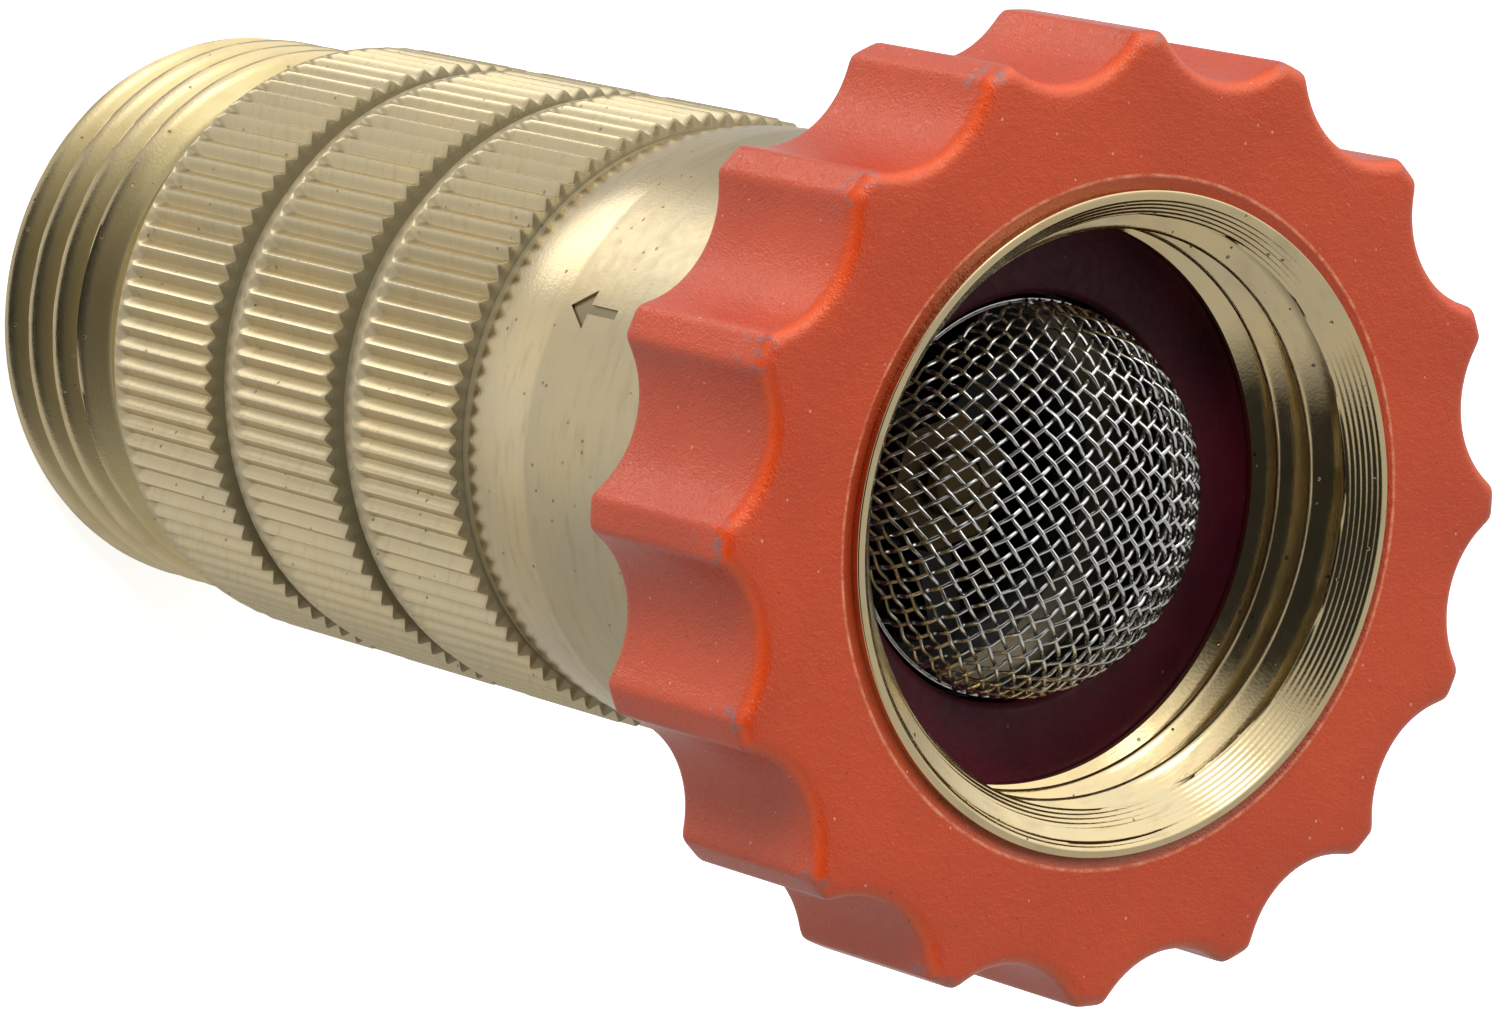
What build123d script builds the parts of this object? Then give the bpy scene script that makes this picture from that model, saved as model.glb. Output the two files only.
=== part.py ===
from build123d import *
import math
import os

# In-line water pressure regulator with 3/4-11.5NH garden-hose ends, standing on its
# outlet.  Millimetres.  +Z runs along the axis from the outlet face (z = 0) to the
# inlet rim.  Water enters at the top through the domed screen, passes the seat disc,
# goes down the hollow stem and leaves at the bottom.  Outlet pressure lifts the piston
# against the main spring until the stem closes on the seat disc.

# ---- driving dimensions -------------------------------------------------------------
TOTAL_LENGTH = 71.2          # outlet face to the rim of the swivel nut

# 3/4-11.5NH hose thread
THREAD_PITCH = 25.4 / 11.5
THREAD_HALF_ANGLE = 30.0
MALE_CREST_R = 13.4
MALE_ROOT_R = 12.05
FEMALE_CREST_R = 12.3
FEMALE_ROOT_R = 13.65
CREST_SHARE = 0.125          # flat at a crest or root, as a share of the pitch

# outlet body, outside
MALE_THREAD_LENGTH = 8.6
MALE_THREAD_PHASE = 38.7     # degrees, turns the thread's start about the axis
NECK_R = 12.0
NECK_FLARE = 0.8
BAND_COUNT = 3
BAND_PITCH = 10.08           # from the end of one knurled band to the end of the next
BAND_GROOVE = 1.38           # width of the groove between two bands
FIRST_BAND_START = 12.35
BODY_JOINT_Z = 40.72         # end of the last band, where the inlet body's collar begins
RIB_COUNT = 92
RIB_CREST_R = 14.08
RIB_VALLEY_R = 13.68
RIB_CREST_FLAT = 0.12
RIB_PHASE = 1.45             # degrees
BAND_LAND_LENGTH = 0.85      # smooth bevel ahead of each band's ribs
BAND_EDGE_R = 13.8
BAND_LAND_R = 14.0
GROOVE_FLOOR_R = 13.0

# outlet body, inside
OUTLET_BORE_R = 9.6
CHAMBER_R = 11.0
CHAMBER_START = 13.0
JOINT_R = 12.0               # pitch cylinder of the screwed body joint
JOINT_LEDGE_Z = 33.0
VENT_R = 0.6
VENT_ANGLE = 90.0            # degrees about +Z

# inlet body
COLLAR_START_R = 13.3
COLLAR_END_R = 13.88
COLLAR_END_Z = 46.4
COLLAR_BULGE = 0.22
BARREL_R = 13.95
BARREL_END_Z = 56.6
BARREL_CHAMFER = 0.7
TAIL_R = 11.0
TAIL_TOP_Z = 60.9
INLET_BORE_R = 8.8
INLET_BORE_START = 43.2
SPIDER_BORE_R = 9.4
SPIDER_LEDGE_Z = 54.0
JOINT_SEAL_R = 10.9          # floor of the body O-ring's groove
JOINT_SEAL_Z = 39.3
JOINT_SEAL_WIDTH = 2.0

# piston and its seals
STEM_R = 4.0
STEM_BORE_R = 2.7
STEM_FLANGE_R = 5.5
STEM_FLANGE_THICK = 1.0
STEM_LIP_R = 3.3
STEM_LIP_LENGTH = 1.6
STEM_TOP_Z = 47.6
GUIDE_CLEARANCE = 0.05
PISTON_BOTTOM_Z = 13.05
PISTON_TOP_Z = 19.6
PISTON_CLEARANCE = 0.07
PISTON_BOSS_R = 5.4
PISTON_BOSS_HEIGHT = 2.0
PISTON_RECESS_R = 9.0
PISTON_RECESS_DEPTH = 1.5
PISTON_SEAL_FLOOR_R = 9.7
PISTON_SEAL_Z = 15.6
PISTON_SEAL_WIDTH = 2.0
GUIDE_RING_FLOOR_R = 10.2
GUIDE_RING_Z = 18.1
GUIDE_RING_WIDTH = 1.4
SEAL_CLEARANCE = 0.02        # left between a sliding seal and its bore
PISTON_TRAVEL = 2.4
STEM_SEAL_R = 5.9            # outside of the stem O-ring's gland
STEM_SEAL_BOTTOM_Z = 39.5
STEM_SEAL_TOP_Z = 41.7
RETAINER_R = 7.0

# main spring and its washers
SPRING_MEAN_R = 7.9
SPRING_WIRE_R = 0.8
SPRING_TURNS = 5.5
SHIM_THICK = 0.6
SPRING_SEAT_THICK = 1.0
SPRING_END_GAP = 0.02

# seat assembly
SEAT_GAP = 0.02              # left between stem and disc when shut
SEAT_DISC_R = 4.8
SEAT_DISC_THICK = 2.0
SEAT_CUP_R = 5.6
SEAT_CUP_DEPTH = 1.6
SEAT_CUP_FLOOR = 1.2
SEAT_SHANK_R = 1.5
SEAT_NUT_FLATS = 5.5
SEAT_NUT_HEIGHT = 2.0
SPIDER_THICK = 2.6
SPIDER_RING_R = 7.4
SPIDER_HUB_R = 3.2
SPIDER_LEG_WIDTH = 1.8
SPIDER_LEGS = 3
CLIP_THICK = 0.8
CLIP_GROOVE_R = 9.9
CLIP_INNER_R = 8.5
CLIP_GAP_ANGLE = 40.0

# swivel nut
NUT_BACK_Z = 57.5
NUT_RIM_R = 14.24
NUT_MOUTH_R = 13.89
NUT_CHAMFER_END_R = 12.3
NUT_NECK_LENGTH = 1.4
NUT_BODY_R = 15.2
NUT_KEY_FLATS = 12           # flats that lock the moulded grip to the insert
NUT_KEY_APOTHEM = 14.95
NUT_BACK_BORE_CLEARANCE = 0.08
FEMALE_THREAD_PHASE = 130.0
NUT_RELIEF_R = 12.8
FEMALE_THREAD_LEAD = 0.47 * THREAD_PITCH   # plain land left at the thread's inner end
FEMALE_THREAD_RUN_OUT = 0.8 * THREAD_PITCH   # how far the cut runs on past the rim
RING_WIRE_R = 0.5
RING_GROOVE_FLOAT = 0.8      # end play of the nut on the tailpiece
RING_GAP_ANGLE = 24.0

# plastic grip
GRIP_BACK_Z = 60.92
GRIP_FRONT_Z = 70.91
GRIP_LOBES = 16
GRIP_TIP_R = 20.85
GRIP_VALLEY_R = 19.15
GRIP_TIP_HALF_ANGLE = 2.2
GRIP_LOBE_PHASE = 14.0
GRIP_TIP_FILLET = 0.5
GRIP_EDGE_FILLET = 0.55
GRIP_LIP_WIDTH = 0.56
GRIP_LIP_DEPTH = 0.18

# sealing washer and screen
WASHER_R = 12.6
WASHER_BORE_R = 8.9
WASHER_BOTTOM_Z = 60.95
WASHER_THICK = 3.0
SCREEN_FLANGE_R = 10.8
SCREEN_THICK = 0.36
SCREEN_DOME_R = 8.7
SCREEN_RISE_START_Z = 63.6
SCREEN_DOME_HEIGHT = 6.3

# flow arrow engraved in the barrel
ARROW_ANGLE = -104.0
ARROW_Z = 48.8
ARROW_LENGTH = 3.4
ARROW_SHAFT_WIDTH = 0.45
ARROW_HEAD_WIDTH = 1.9
ARROW_HEAD_LENGTH = 1.4
ARROW_DEPTH = 0.12

# ---- worked-out values --------------------------------------------------------------
RING_R = TAIL_R + 0.04
RING_REST_Z = NUT_BACK_Z + 1.45
RING_NUT_GROOVE_R = RING_R + RING_WIRE_R + 0.15
RING_TAIL_GROOVE_R = RING_R - RING_WIRE_R - 0.04
FEMALE_THREAD_END_Z = WASHER_BOTTOM_Z + WASHER_THICK + 0.05
PISTON_R = CHAMBER_R - PISTON_CLEARANCE
SHIM_TOP_Z = JOINT_LEDGE_Z
SHIM_BOTTOM_Z = SHIM_TOP_Z - SHIM_THICK
PARTITION_Z = JOINT_LEDGE_Z + SPRING_SEAT_THICK
DISC_BOTTOM_Z = STEM_TOP_Z + PISTON_TRAVEL + SEAT_GAP
DISC_TOP_Z = DISC_BOTTOM_Z + SEAT_DISC_THICK
CUP_TOP_Z = DISC_TOP_Z + SEAT_CUP_FLOOR
SPIDER_TOP_Z = SPIDER_LEDGE_Z + SPIDER_THICK
CLIP_BOTTOM_Z = SPIDER_TOP_Z + 0.05


# ---- shared helpers -----------------------------------------------------------------
def turned(points):
    """A solid of revolution about Z from a closed outline of (radius, height) points."""
    outline = Polyline(*[(r, 0, z) for r, z in points], close=True)
    return revolve(make_face(outline), Axis.Z)


def ring(inner_r, outer_r, bottom, top):
    """A plain ring or, with no inner radius, a disc."""
    solid = Pos(0, 0, bottom) * extrude(Circle(outer_r), top - bottom)
    if inner_r <= 0:
        return solid
    return solid - Pos(0, 0, bottom - 1) * extrude(Circle(inner_r), top - bottom + 2)


def seal(inner_r, outer_r, middle_z, height):
    """An O-ring as it sits squeezed in its groove: an oval section turned about Z."""
    section = Ellipse((outer_r - inner_r) / 2, height / 2)
    placed = Plane.XZ * Pos((inner_r + outer_r) / 2, middle_z) * section
    return revolve(placed, Axis.Z)


def sector_gap(angle, reach, bottom, top):
    """A wedge used to open a ring, centred on +X."""
    half = math.radians(angle / 2)
    corner_x = reach * math.cos(half)
    corner_y = reach * math.sin(half)
    wedge = Polyline((0, 0), (corner_x, -corner_y), (corner_x, corner_y), close=True)
    return Pos(0, 0, bottom) * extrude(make_face(wedge), top - bottom)


def thread_cutter(crest_r, root_r, start_z, end_z, phase):
    """The 60 degree groove of a right-hand thread, swept along its helix."""
    overlap = math.copysign(0.05, crest_r - root_r)
    slope = math.tan(math.radians(THREAD_HALF_ANGLE))
    crest_flat = THREAD_PITCH * CREST_SHARE
    half_mouth = (THREAD_PITCH - crest_flat) / 2
    half_root = half_mouth - abs(crest_r - root_r) * slope
    half_outer = half_mouth + abs(overlap) * slope
    helix = Helix(pitch=THREAD_PITCH, height=end_z - start_z, radius=crest_r)
    corners = [
        (crest_r + overlap, -half_outer),
        (crest_r + overlap, half_outer),
        (root_r, half_root),
        (root_r, -half_root),
    ]
    profile = Plane.XZ * make_face(Polyline(*corners, close=True))
    groove = sweep(profile, path=helix, is_frenet=True)
    return Pos(0, 0, start_z) * Rot(0, 0, phase) * groove


def cut_thread(blank, cutter):
    """The blank with its thread cut; stops if the cut took nothing away."""
    threaded = blank - cutter
    if blank.volume - threaded.volume < cutter.volume / 4:
        raise ValueError("the thread was not cut")
    return threaded


def save(node, shape):
    shape.label = node
    export_step(shape, os.path.join("parts", node + ".step"))


# ---- outlet body --------------------------------------------------------------------
def rib_outline():
    """The ribbed section of a knurled band: V grooves with narrow flat crests."""
    step = 2 * math.pi / RIB_COUNT
    half_flat = RIB_CREST_FLAT / 2 / RIB_CREST_R
    corners = []
    for index in range(RIB_COUNT):
        crest = math.radians(RIB_PHASE) + index * step
        for radius, angle in (
            (RIB_CREST_R, crest - half_flat),
            (RIB_CREST_R, crest + half_flat),
            (RIB_VALLEY_R, crest + step / 2),
        ):
            corners.append((radius * math.cos(angle), radius * math.sin(angle)))
    return make_face(Polyline(*corners, close=True))


def knurled_band(start, end):
    """One band: a smooth bevelled land, then straight ribs to a square end."""
    land_end = start + BAND_LAND_LENGTH
    land = turned([
        (0, start),
        (BAND_EDGE_R, start),
        (BAND_LAND_R, land_end),
        (0, land_end),
    ])
    ribs = Pos(0, 0, land_end) * extrude(rib_outline(), end - land_end)
    return land + ribs


def band_spans():
    """(start, end) of each knurled band, from the outlet upwards."""
    spans = []
    for index in range(BAND_COUNT):
        end = BODY_JOINT_Z - (BAND_COUNT - 1 - index) * BAND_PITCH
        start = end - BAND_PITCH + BAND_GROOVE
        spans.append((max(start, FIRST_BAND_START), end))
    return spans


def outlet_body():
    spans = band_spans()
    lead = MALE_CREST_R - MALE_ROOT_R
    nipple = turned([
        (0, 0),
        (MALE_ROOT_R, 0),
        (MALE_CREST_R, lead),
        (MALE_CREST_R, MALE_THREAD_LENGTH - lead / 2),
        (NECK_R, MALE_THREAD_LENGTH + lead / 4),
        (NECK_R, FIRST_BAND_START - NECK_FLARE),
        (NECK_R + NECK_FLARE, FIRST_BAND_START),
        (0, FIRST_BAND_START),
    ])
    cutter = thread_cutter(
        MALE_CREST_R,
        MALE_ROOT_R,
        -THREAD_PITCH / 2,
        MALE_THREAD_LENGTH + THREAD_PITCH / 2,
        MALE_THREAD_PHASE,
    )
    nipple = cut_thread(nipple, cutter)
    core = ring(0, GROOVE_FLOOR_R, FIRST_BAND_START, BODY_JOINT_Z)
    body = nipple + core
    for start, end in spans:
        body += knurled_band(start, end)
    body -= turned([
        (0, -1),
        (OUTLET_BORE_R + 0.4, -1),
        (OUTLET_BORE_R + 0.4, 0),
        (OUTLET_BORE_R, 0.4),
        (OUTLET_BORE_R, CHAMBER_START),
        (CHAMBER_R, CHAMBER_START),
        (CHAMBER_R, JOINT_LEDGE_Z),
        (JOINT_R, JOINT_LEDGE_Z),
        (JOINT_R, BODY_JOINT_Z + 1),
        (0, BODY_JOINT_Z + 1),
    ])
    vent_z = spans[-1][0] - BAND_GROOVE / 2
    vent = Pos(0, 0, vent_z) * Rot(0, 0, VENT_ANGLE) * Rot(0, 90, 0)
    return body - vent * extrude(Circle(VENT_R), RIB_CREST_R + 1)


# ---- inlet body ---------------------------------------------------------------------
def flow_arrow():
    """Cutter for a plain arrow that points along the flow, towards the outlet."""
    tip = -ARROW_LENGTH / 2
    neck = tip + ARROW_HEAD_LENGTH
    half_shaft = ARROW_SHAFT_WIDTH / 2
    half_head = ARROW_HEAD_WIDTH / 2
    outline = Polyline(
        (0, tip),
        (half_head, neck),
        (half_shaft, neck),
        (half_shaft, -tip),
        (-half_shaft, -tip),
        (-half_shaft, neck),
        (-half_head, neck),
        close=True,
    )
    block = extrude(Plane.YZ * make_face(outline), BARREL_R + 1)
    core = ring(0, BARREL_R - ARROW_DEPTH, -ARROW_LENGTH, ARROW_LENGTH)
    return Pos(0, 0, ARROW_Z) * Rot(0, 0, ARROW_ANGLE) * (block - core)


def collar():
    """Convex neck that swells from the body joint up to the barrel."""
    middle_r = (COLLAR_START_R + COLLAR_END_R) / 2 + COLLAR_BULGE
    middle_z = (BODY_JOINT_Z + COLLAR_END_Z) / 2
    start = (COLLAR_START_R, 0, BODY_JOINT_Z)
    end = (COLLAR_END_R, 0, COLLAR_END_Z)
    side = ThreePointArc(start, (middle_r, 0, middle_z), end)
    core = Polyline(end, (0, 0, COLLAR_END_Z), (0, 0, BODY_JOINT_Z), start)
    return revolve(make_face([side, core]), Axis.Z)


def inlet_body():
    half_seal = JOINT_SEAL_WIDTH / 2
    stem_hole_r = STEM_R + GUIDE_CLEARANCE
    groove_low = RING_REST_Z - RING_WIRE_R - 0.02
    groove_high = RING_REST_Z + RING_WIRE_R + RING_GROOVE_FLOAT + 0.02
    body = turned([
        (0, PARTITION_Z),
        (JOINT_R, PARTITION_Z),
        (JOINT_R, JOINT_SEAL_Z - half_seal),
        (JOINT_SEAL_R, JOINT_SEAL_Z - half_seal),
        (JOINT_SEAL_R, JOINT_SEAL_Z + half_seal),
        (JOINT_R, JOINT_SEAL_Z + half_seal),
        (JOINT_R, COLLAR_END_Z),
        (BARREL_R, COLLAR_END_Z),
        (BARREL_R, BARREL_END_Z - BARREL_CHAMFER),
        (BARREL_R - BARREL_CHAMFER, BARREL_END_Z),
        (TAIL_R, BARREL_END_Z),
        (TAIL_R, groove_low),
        (RING_TAIL_GROOVE_R, groove_low),
        (RING_TAIL_GROOVE_R, groove_high),
        (TAIL_R, groove_high),
        (TAIL_R, TAIL_TOP_Z),
        (0, TAIL_TOP_Z),
    ])
    body += collar()
    body -= turned([
        (0, PARTITION_Z - 1),
        (stem_hole_r, PARTITION_Z - 1),
        (stem_hole_r, STEM_SEAL_BOTTOM_Z),
        (STEM_SEAL_R, STEM_SEAL_BOTTOM_Z),
        (STEM_SEAL_R, STEM_SEAL_TOP_Z),
        (RETAINER_R, STEM_SEAL_TOP_Z),
        (RETAINER_R, INLET_BORE_START),
        (INLET_BORE_R, INLET_BORE_START),
        (INLET_BORE_R, SPIDER_LEDGE_Z),
        (SPIDER_BORE_R, SPIDER_LEDGE_Z),
        (SPIDER_BORE_R, CLIP_BOTTOM_Z),
        (CLIP_GROOVE_R, CLIP_BOTTOM_Z),
        (CLIP_GROOVE_R, CLIP_BOTTOM_Z + CLIP_THICK),
        (SPIDER_BORE_R, CLIP_BOTTOM_Z + CLIP_THICK),
        (SPIDER_BORE_R, TAIL_TOP_Z + 1),
        (0, TAIL_TOP_Z + 1),
    ])
    return body - flow_arrow()


# ---- seals between and inside the bodies ---------------------------------------------
def body_o_ring():
    return seal(JOINT_SEAL_R, JOINT_R, JOINT_SEAL_Z, JOINT_SEAL_WIDTH - 0.3)


def stem_o_ring():
    middle = (STEM_SEAL_BOTTOM_Z + STEM_SEAL_TOP_Z) / 2
    height = STEM_SEAL_TOP_Z - STEM_SEAL_BOTTOM_Z - 0.2
    return seal(STEM_R + SEAL_CLEARANCE, STEM_SEAL_R, middle, height)


def gland_retainer():
    return ring(STEM_R + GUIDE_CLEARANCE, RETAINER_R, STEM_SEAL_TOP_Z, INLET_BORE_START)


# ---- piston -------------------------------------------------------------------------
def piston_head():
    half_seal = PISTON_SEAL_WIDTH / 2
    half_guide = GUIDE_RING_WIDTH / 2
    flange_z = PISTON_BOTTOM_Z + PISTON_RECESS_DEPTH + STEM_FLANGE_THICK
    head = turned([
        (STEM_R, flange_z),
        (STEM_FLANGE_R, flange_z),
        (STEM_FLANGE_R, PISTON_BOTTOM_Z + PISTON_RECESS_DEPTH),
        (PISTON_RECESS_R, PISTON_BOTTOM_Z + PISTON_RECESS_DEPTH),
        (PISTON_RECESS_R + 0.5, PISTON_BOTTOM_Z),
        (PISTON_R, PISTON_BOTTOM_Z),
        (PISTON_R, PISTON_SEAL_Z - half_seal),
        (PISTON_SEAL_FLOOR_R, PISTON_SEAL_Z - half_seal),
        (PISTON_SEAL_FLOOR_R, PISTON_SEAL_Z + half_seal),
        (PISTON_R, PISTON_SEAL_Z + half_seal),
        (PISTON_R, GUIDE_RING_Z - half_guide),
        (GUIDE_RING_FLOOR_R, GUIDE_RING_Z - half_guide),
        (GUIDE_RING_FLOOR_R, GUIDE_RING_Z + half_guide),
        (PISTON_R, GUIDE_RING_Z + half_guide),
        (PISTON_R, PISTON_TOP_Z - 0.3),
        (PISTON_R - 0.3, PISTON_TOP_Z),
        (PISTON_BOSS_R, PISTON_TOP_Z),
        (PISTON_BOSS_R, PISTON_TOP_Z + PISTON_BOSS_HEIGHT),
        (STEM_R, PISTON_TOP_Z + PISTON_BOSS_HEIGHT),
    ])
    return head


def piston_stem():
    flange_bottom = PISTON_BOTTOM_Z + PISTON_RECESS_DEPTH
    flange_top = flange_bottom + STEM_FLANGE_THICK
    return turned([
        (STEM_BORE_R, flange_bottom),
        (STEM_FLANGE_R, flange_bottom),
        (STEM_FLANGE_R, flange_top),
        (STEM_R, flange_top),
        (STEM_R, STEM_TOP_Z - STEM_LIP_LENGTH),
        (STEM_LIP_R, STEM_TOP_Z - STEM_LIP_LENGTH + 0.7),
        (STEM_LIP_R, STEM_TOP_Z - 0.15),
        (STEM_LIP_R - 0.2, STEM_TOP_Z),
        (STEM_BORE_R + 0.15, STEM_TOP_Z),
        (STEM_BORE_R, STEM_TOP_Z - 0.3),
    ])


def piston_o_ring():
    outer = CHAMBER_R - SEAL_CLEARANCE
    return seal(PISTON_SEAL_FLOOR_R, outer, PISTON_SEAL_Z, PISTON_SEAL_WIDTH - 0.2)


def piston_guide_ring():
    half = GUIDE_RING_WIDTH / 2 - 0.03
    outer = CHAMBER_R - 0.03
    band = ring(GUIDE_RING_FLOOR_R, outer, GUIDE_RING_Z - half, GUIDE_RING_Z + half)
    split = Rot(0, 0, 200) * sector_gap(3, 2 * outer, GUIDE_RING_Z - 1, GUIDE_RING_Z + 1)
    return band - split


# ---- spring stack -------------------------------------------------------------------
def main_spring():
    """Coil with ground ends, between the piston head and the shim."""
    bottom = PISTON_TOP_Z + SPRING_END_GAP
    top = SHIM_BOTTOM_Z - SPRING_END_GAP
    length = top - bottom
    helix = Helix(pitch=length / SPRING_TURNS, height=length, radius=SPRING_MEAN_R)
    section = Plane.XZ * Pos(SPRING_MEAN_R, 0) * Circle(SPRING_WIRE_R)
    coil = Pos(0, 0, bottom) * sweep(section, path=helix, is_frenet=True)
    return coil & ring(0, SPRING_MEAN_R + 3, bottom, top)


def preload_shim():
    return ring(PISTON_BOSS_R + 0.2, CHAMBER_R - 0.3, SHIM_BOTTOM_Z, SHIM_TOP_Z)


def spring_seat_washer():
    return ring(STEM_R + 0.8, JOINT_R - 0.3, SHIM_TOP_Z, PARTITION_Z)


# ---- seat assembly ------------------------------------------------------------------
def seat_spider():
    """Ring with legs to a hub that carries the seat holder; water passes between them."""
    rim = ring(SPIDER_RING_R, SPIDER_BORE_R, SPIDER_LEDGE_Z, SPIDER_TOP_Z)
    hub = ring(0, SPIDER_HUB_R, SPIDER_LEDGE_Z, SPIDER_TOP_Z)
    leg_reach = SPIDER_RING_R + 0.5
    for index in range(SPIDER_LEGS):
        leg = Box(leg_reach, SPIDER_LEG_WIDTH, SPIDER_THICK)
        leg = Pos(leg_reach / 2, 0, SPIDER_LEDGE_Z + SPIDER_THICK / 2) * leg
        hub += Rot(0, 0, 30 + index * 360 / SPIDER_LEGS) * leg
    spider = rim + hub
    return spider - ring(0, SEAT_SHANK_R, SPIDER_LEDGE_Z - 1, SPIDER_TOP_Z + 1)


def seat_holder():
    cup_bottom = DISC_TOP_Z - SEAT_CUP_DEPTH
    shank_top = SPIDER_TOP_Z + SEAT_NUT_HEIGHT + 0.8
    return turned([
        (0, DISC_TOP_Z),
        (SEAT_DISC_R, DISC_TOP_Z),
        (SEAT_DISC_R, cup_bottom),
        (SEAT_CUP_R - 0.3, cup_bottom),
        (SEAT_CUP_R, cup_bottom + 0.3),
        (SEAT_CUP_R, CUP_TOP_Z),
        (SPIDER_HUB_R, CUP_TOP_Z),
        (SPIDER_HUB_R, SPIDER_LEDGE_Z),
        (SEAT_SHANK_R, SPIDER_LEDGE_Z),
        (SEAT_SHANK_R, shank_top - 0.3),
        (SEAT_SHANK_R - 0.3, shank_top),
        (0, shank_top),
    ])


def seat_disc():
    return ring(0, SEAT_DISC_R, DISC_BOTTOM_Z, DISC_TOP_Z)


def seat_nut():
    hexagon = RegularPolygon(SEAT_NUT_FLATS / 2, 6, major_radius=False)
    nut = Pos(0, 0, SPIDER_TOP_Z) * extrude(hexagon, SEAT_NUT_HEIGHT)
    return nut - ring(0, SEAT_SHANK_R, SPIDER_TOP_Z - 1, SPIDER_TOP_Z + SEAT_NUT_HEIGHT + 1)


def spider_clip():
    """Open spring clip that holds the spider on its ledge."""
    top = CLIP_BOTTOM_Z + CLIP_THICK
    band = ring(CLIP_INNER_R, CLIP_GROOVE_R - 0.05, CLIP_BOTTOM_Z, top)
    return band - sector_gap(CLIP_GAP_ANGLE, 2 * CLIP_GROOVE_R, CLIP_BOTTOM_Z - 1, top + 1)


# ---- swivel nut ---------------------------------------------------------------------
def nut_envelope():
    """The outside of the brass insert, keyed with flats where the grip is moulded on."""
    key_start = GRIP_BACK_Z + 0.6
    neck_z = TOTAL_LENGTH - NUT_NECK_LENGTH
    shell = turned([
        (0, NUT_BACK_Z),
        (NUT_BODY_R - 0.5, NUT_BACK_Z),
        (NUT_BODY_R, NUT_BACK_Z + 0.5),
        (NUT_BODY_R, key_start),
        (0, key_start),
    ])
    keyed = RegularPolygon(NUT_KEY_APOTHEM, NUT_KEY_FLATS, major_radius=False)
    keyed = Pos(0, 0, key_start) * extrude(keyed, neck_z - key_start)
    shell += keyed & ring(0, NUT_BODY_R, key_start, neck_z)
    return shell + ring(0, NUT_RIM_R, neck_z, TOTAL_LENGTH)


def nut_insert():
    chamfer = NUT_MOUTH_R - NUT_CHAMFER_END_R
    back_bore = TAIL_R + NUT_BACK_BORE_CLEARANCE
    groove_half = RING_WIRE_R + 0.03
    bore = turned([
        (0, NUT_BACK_Z - 1),
        (back_bore + 0.3, NUT_BACK_Z - 1),
        (back_bore + 0.3, NUT_BACK_Z),
        (back_bore, NUT_BACK_Z + 0.3),
        (back_bore, RING_REST_Z - groove_half),
        (RING_NUT_GROOVE_R, RING_REST_Z - groove_half),
        (RING_NUT_GROOVE_R, RING_REST_Z + groove_half),
        (back_bore, RING_REST_Z + groove_half),
        (back_bore, TAIL_TOP_Z),
        (NUT_RELIEF_R, TAIL_TOP_Z),
        (NUT_RELIEF_R, FEMALE_THREAD_END_Z),
        (FEMALE_CREST_R, FEMALE_THREAD_END_Z),
        (FEMALE_CREST_R, TOTAL_LENGTH - chamfer),
        (NUT_MOUTH_R, TOTAL_LENGTH),
        (NUT_MOUTH_R, TOTAL_LENGTH + 1),
        (0, TOTAL_LENGTH + 1),
    ])
    cutter = thread_cutter(
        FEMALE_CREST_R,
        FEMALE_ROOT_R,
        FEMALE_THREAD_END_Z + FEMALE_THREAD_LEAD,
        TOTAL_LENGTH + FEMALE_THREAD_RUN_OUT,
        FEMALE_THREAD_PHASE,
    )
    return cut_thread(nut_envelope() - bore, cutter)


def grip_outline():
    """Sixteen narrow rounded lobes with a hollow scallop between each pair."""
    half_step = math.pi / GRIP_LOBES
    reach = half_step - math.radians(GRIP_TIP_HALF_ANGLE)
    half_chord = GRIP_TIP_R * math.sin(reach)
    sagitta = GRIP_TIP_R * math.cos(reach) - GRIP_VALLEY_R
    scallop_r = (half_chord**2 + sagitta**2) / (2 * sagitta)
    centre_r = GRIP_VALLEY_R + scallop_r
    outline = Circle(GRIP_TIP_R)
    for index in range(GRIP_LOBES):
        angle = GRIP_LOBE_PHASE + (index + 0.5) * 360 / GRIP_LOBES
        outline -= Rot(0, 0, angle) * Pos(centre_r, 0) * Circle(scallop_r)
    return fillet(outline.vertices(), GRIP_TIP_FILLET)


def nut_grip():
    grip = Pos(0, 0, GRIP_BACK_Z) * extrude(grip_outline(), GRIP_FRONT_Z - GRIP_BACK_Z)
    rims = grip.faces().sort_by(Axis.Z)[0].edges() + grip.faces().sort_by(Axis.Z)[-1].edges()
    grip = fillet(rims, GRIP_EDGE_FILLET)
    lip = turned([
        (0, GRIP_FRONT_Z - GRIP_LIP_DEPTH),
        (NUT_RIM_R, GRIP_FRONT_Z - GRIP_LIP_DEPTH),
        (NUT_RIM_R + GRIP_LIP_WIDTH, GRIP_FRONT_Z),
        (NUT_RIM_R + GRIP_LIP_WIDTH, GRIP_FRONT_Z + 1),
        (0, GRIP_FRONT_Z + 1),
    ])
    return grip - nut_envelope() - lip


def nut_retaining_ring():
    """Open wire ring that ties the nut to the tailpiece and leaves it free to turn."""
    section = Plane.XZ * Pos(RING_R, RING_REST_Z) * Circle(RING_WIRE_R)
    whole = revolve(section, Axis.Z)
    low = RING_REST_Z - 1
    return whole - Rot(0, 0, 150) * sector_gap(RING_GAP_ANGLE, 2 * RING_R, low, low + 2)


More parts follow.
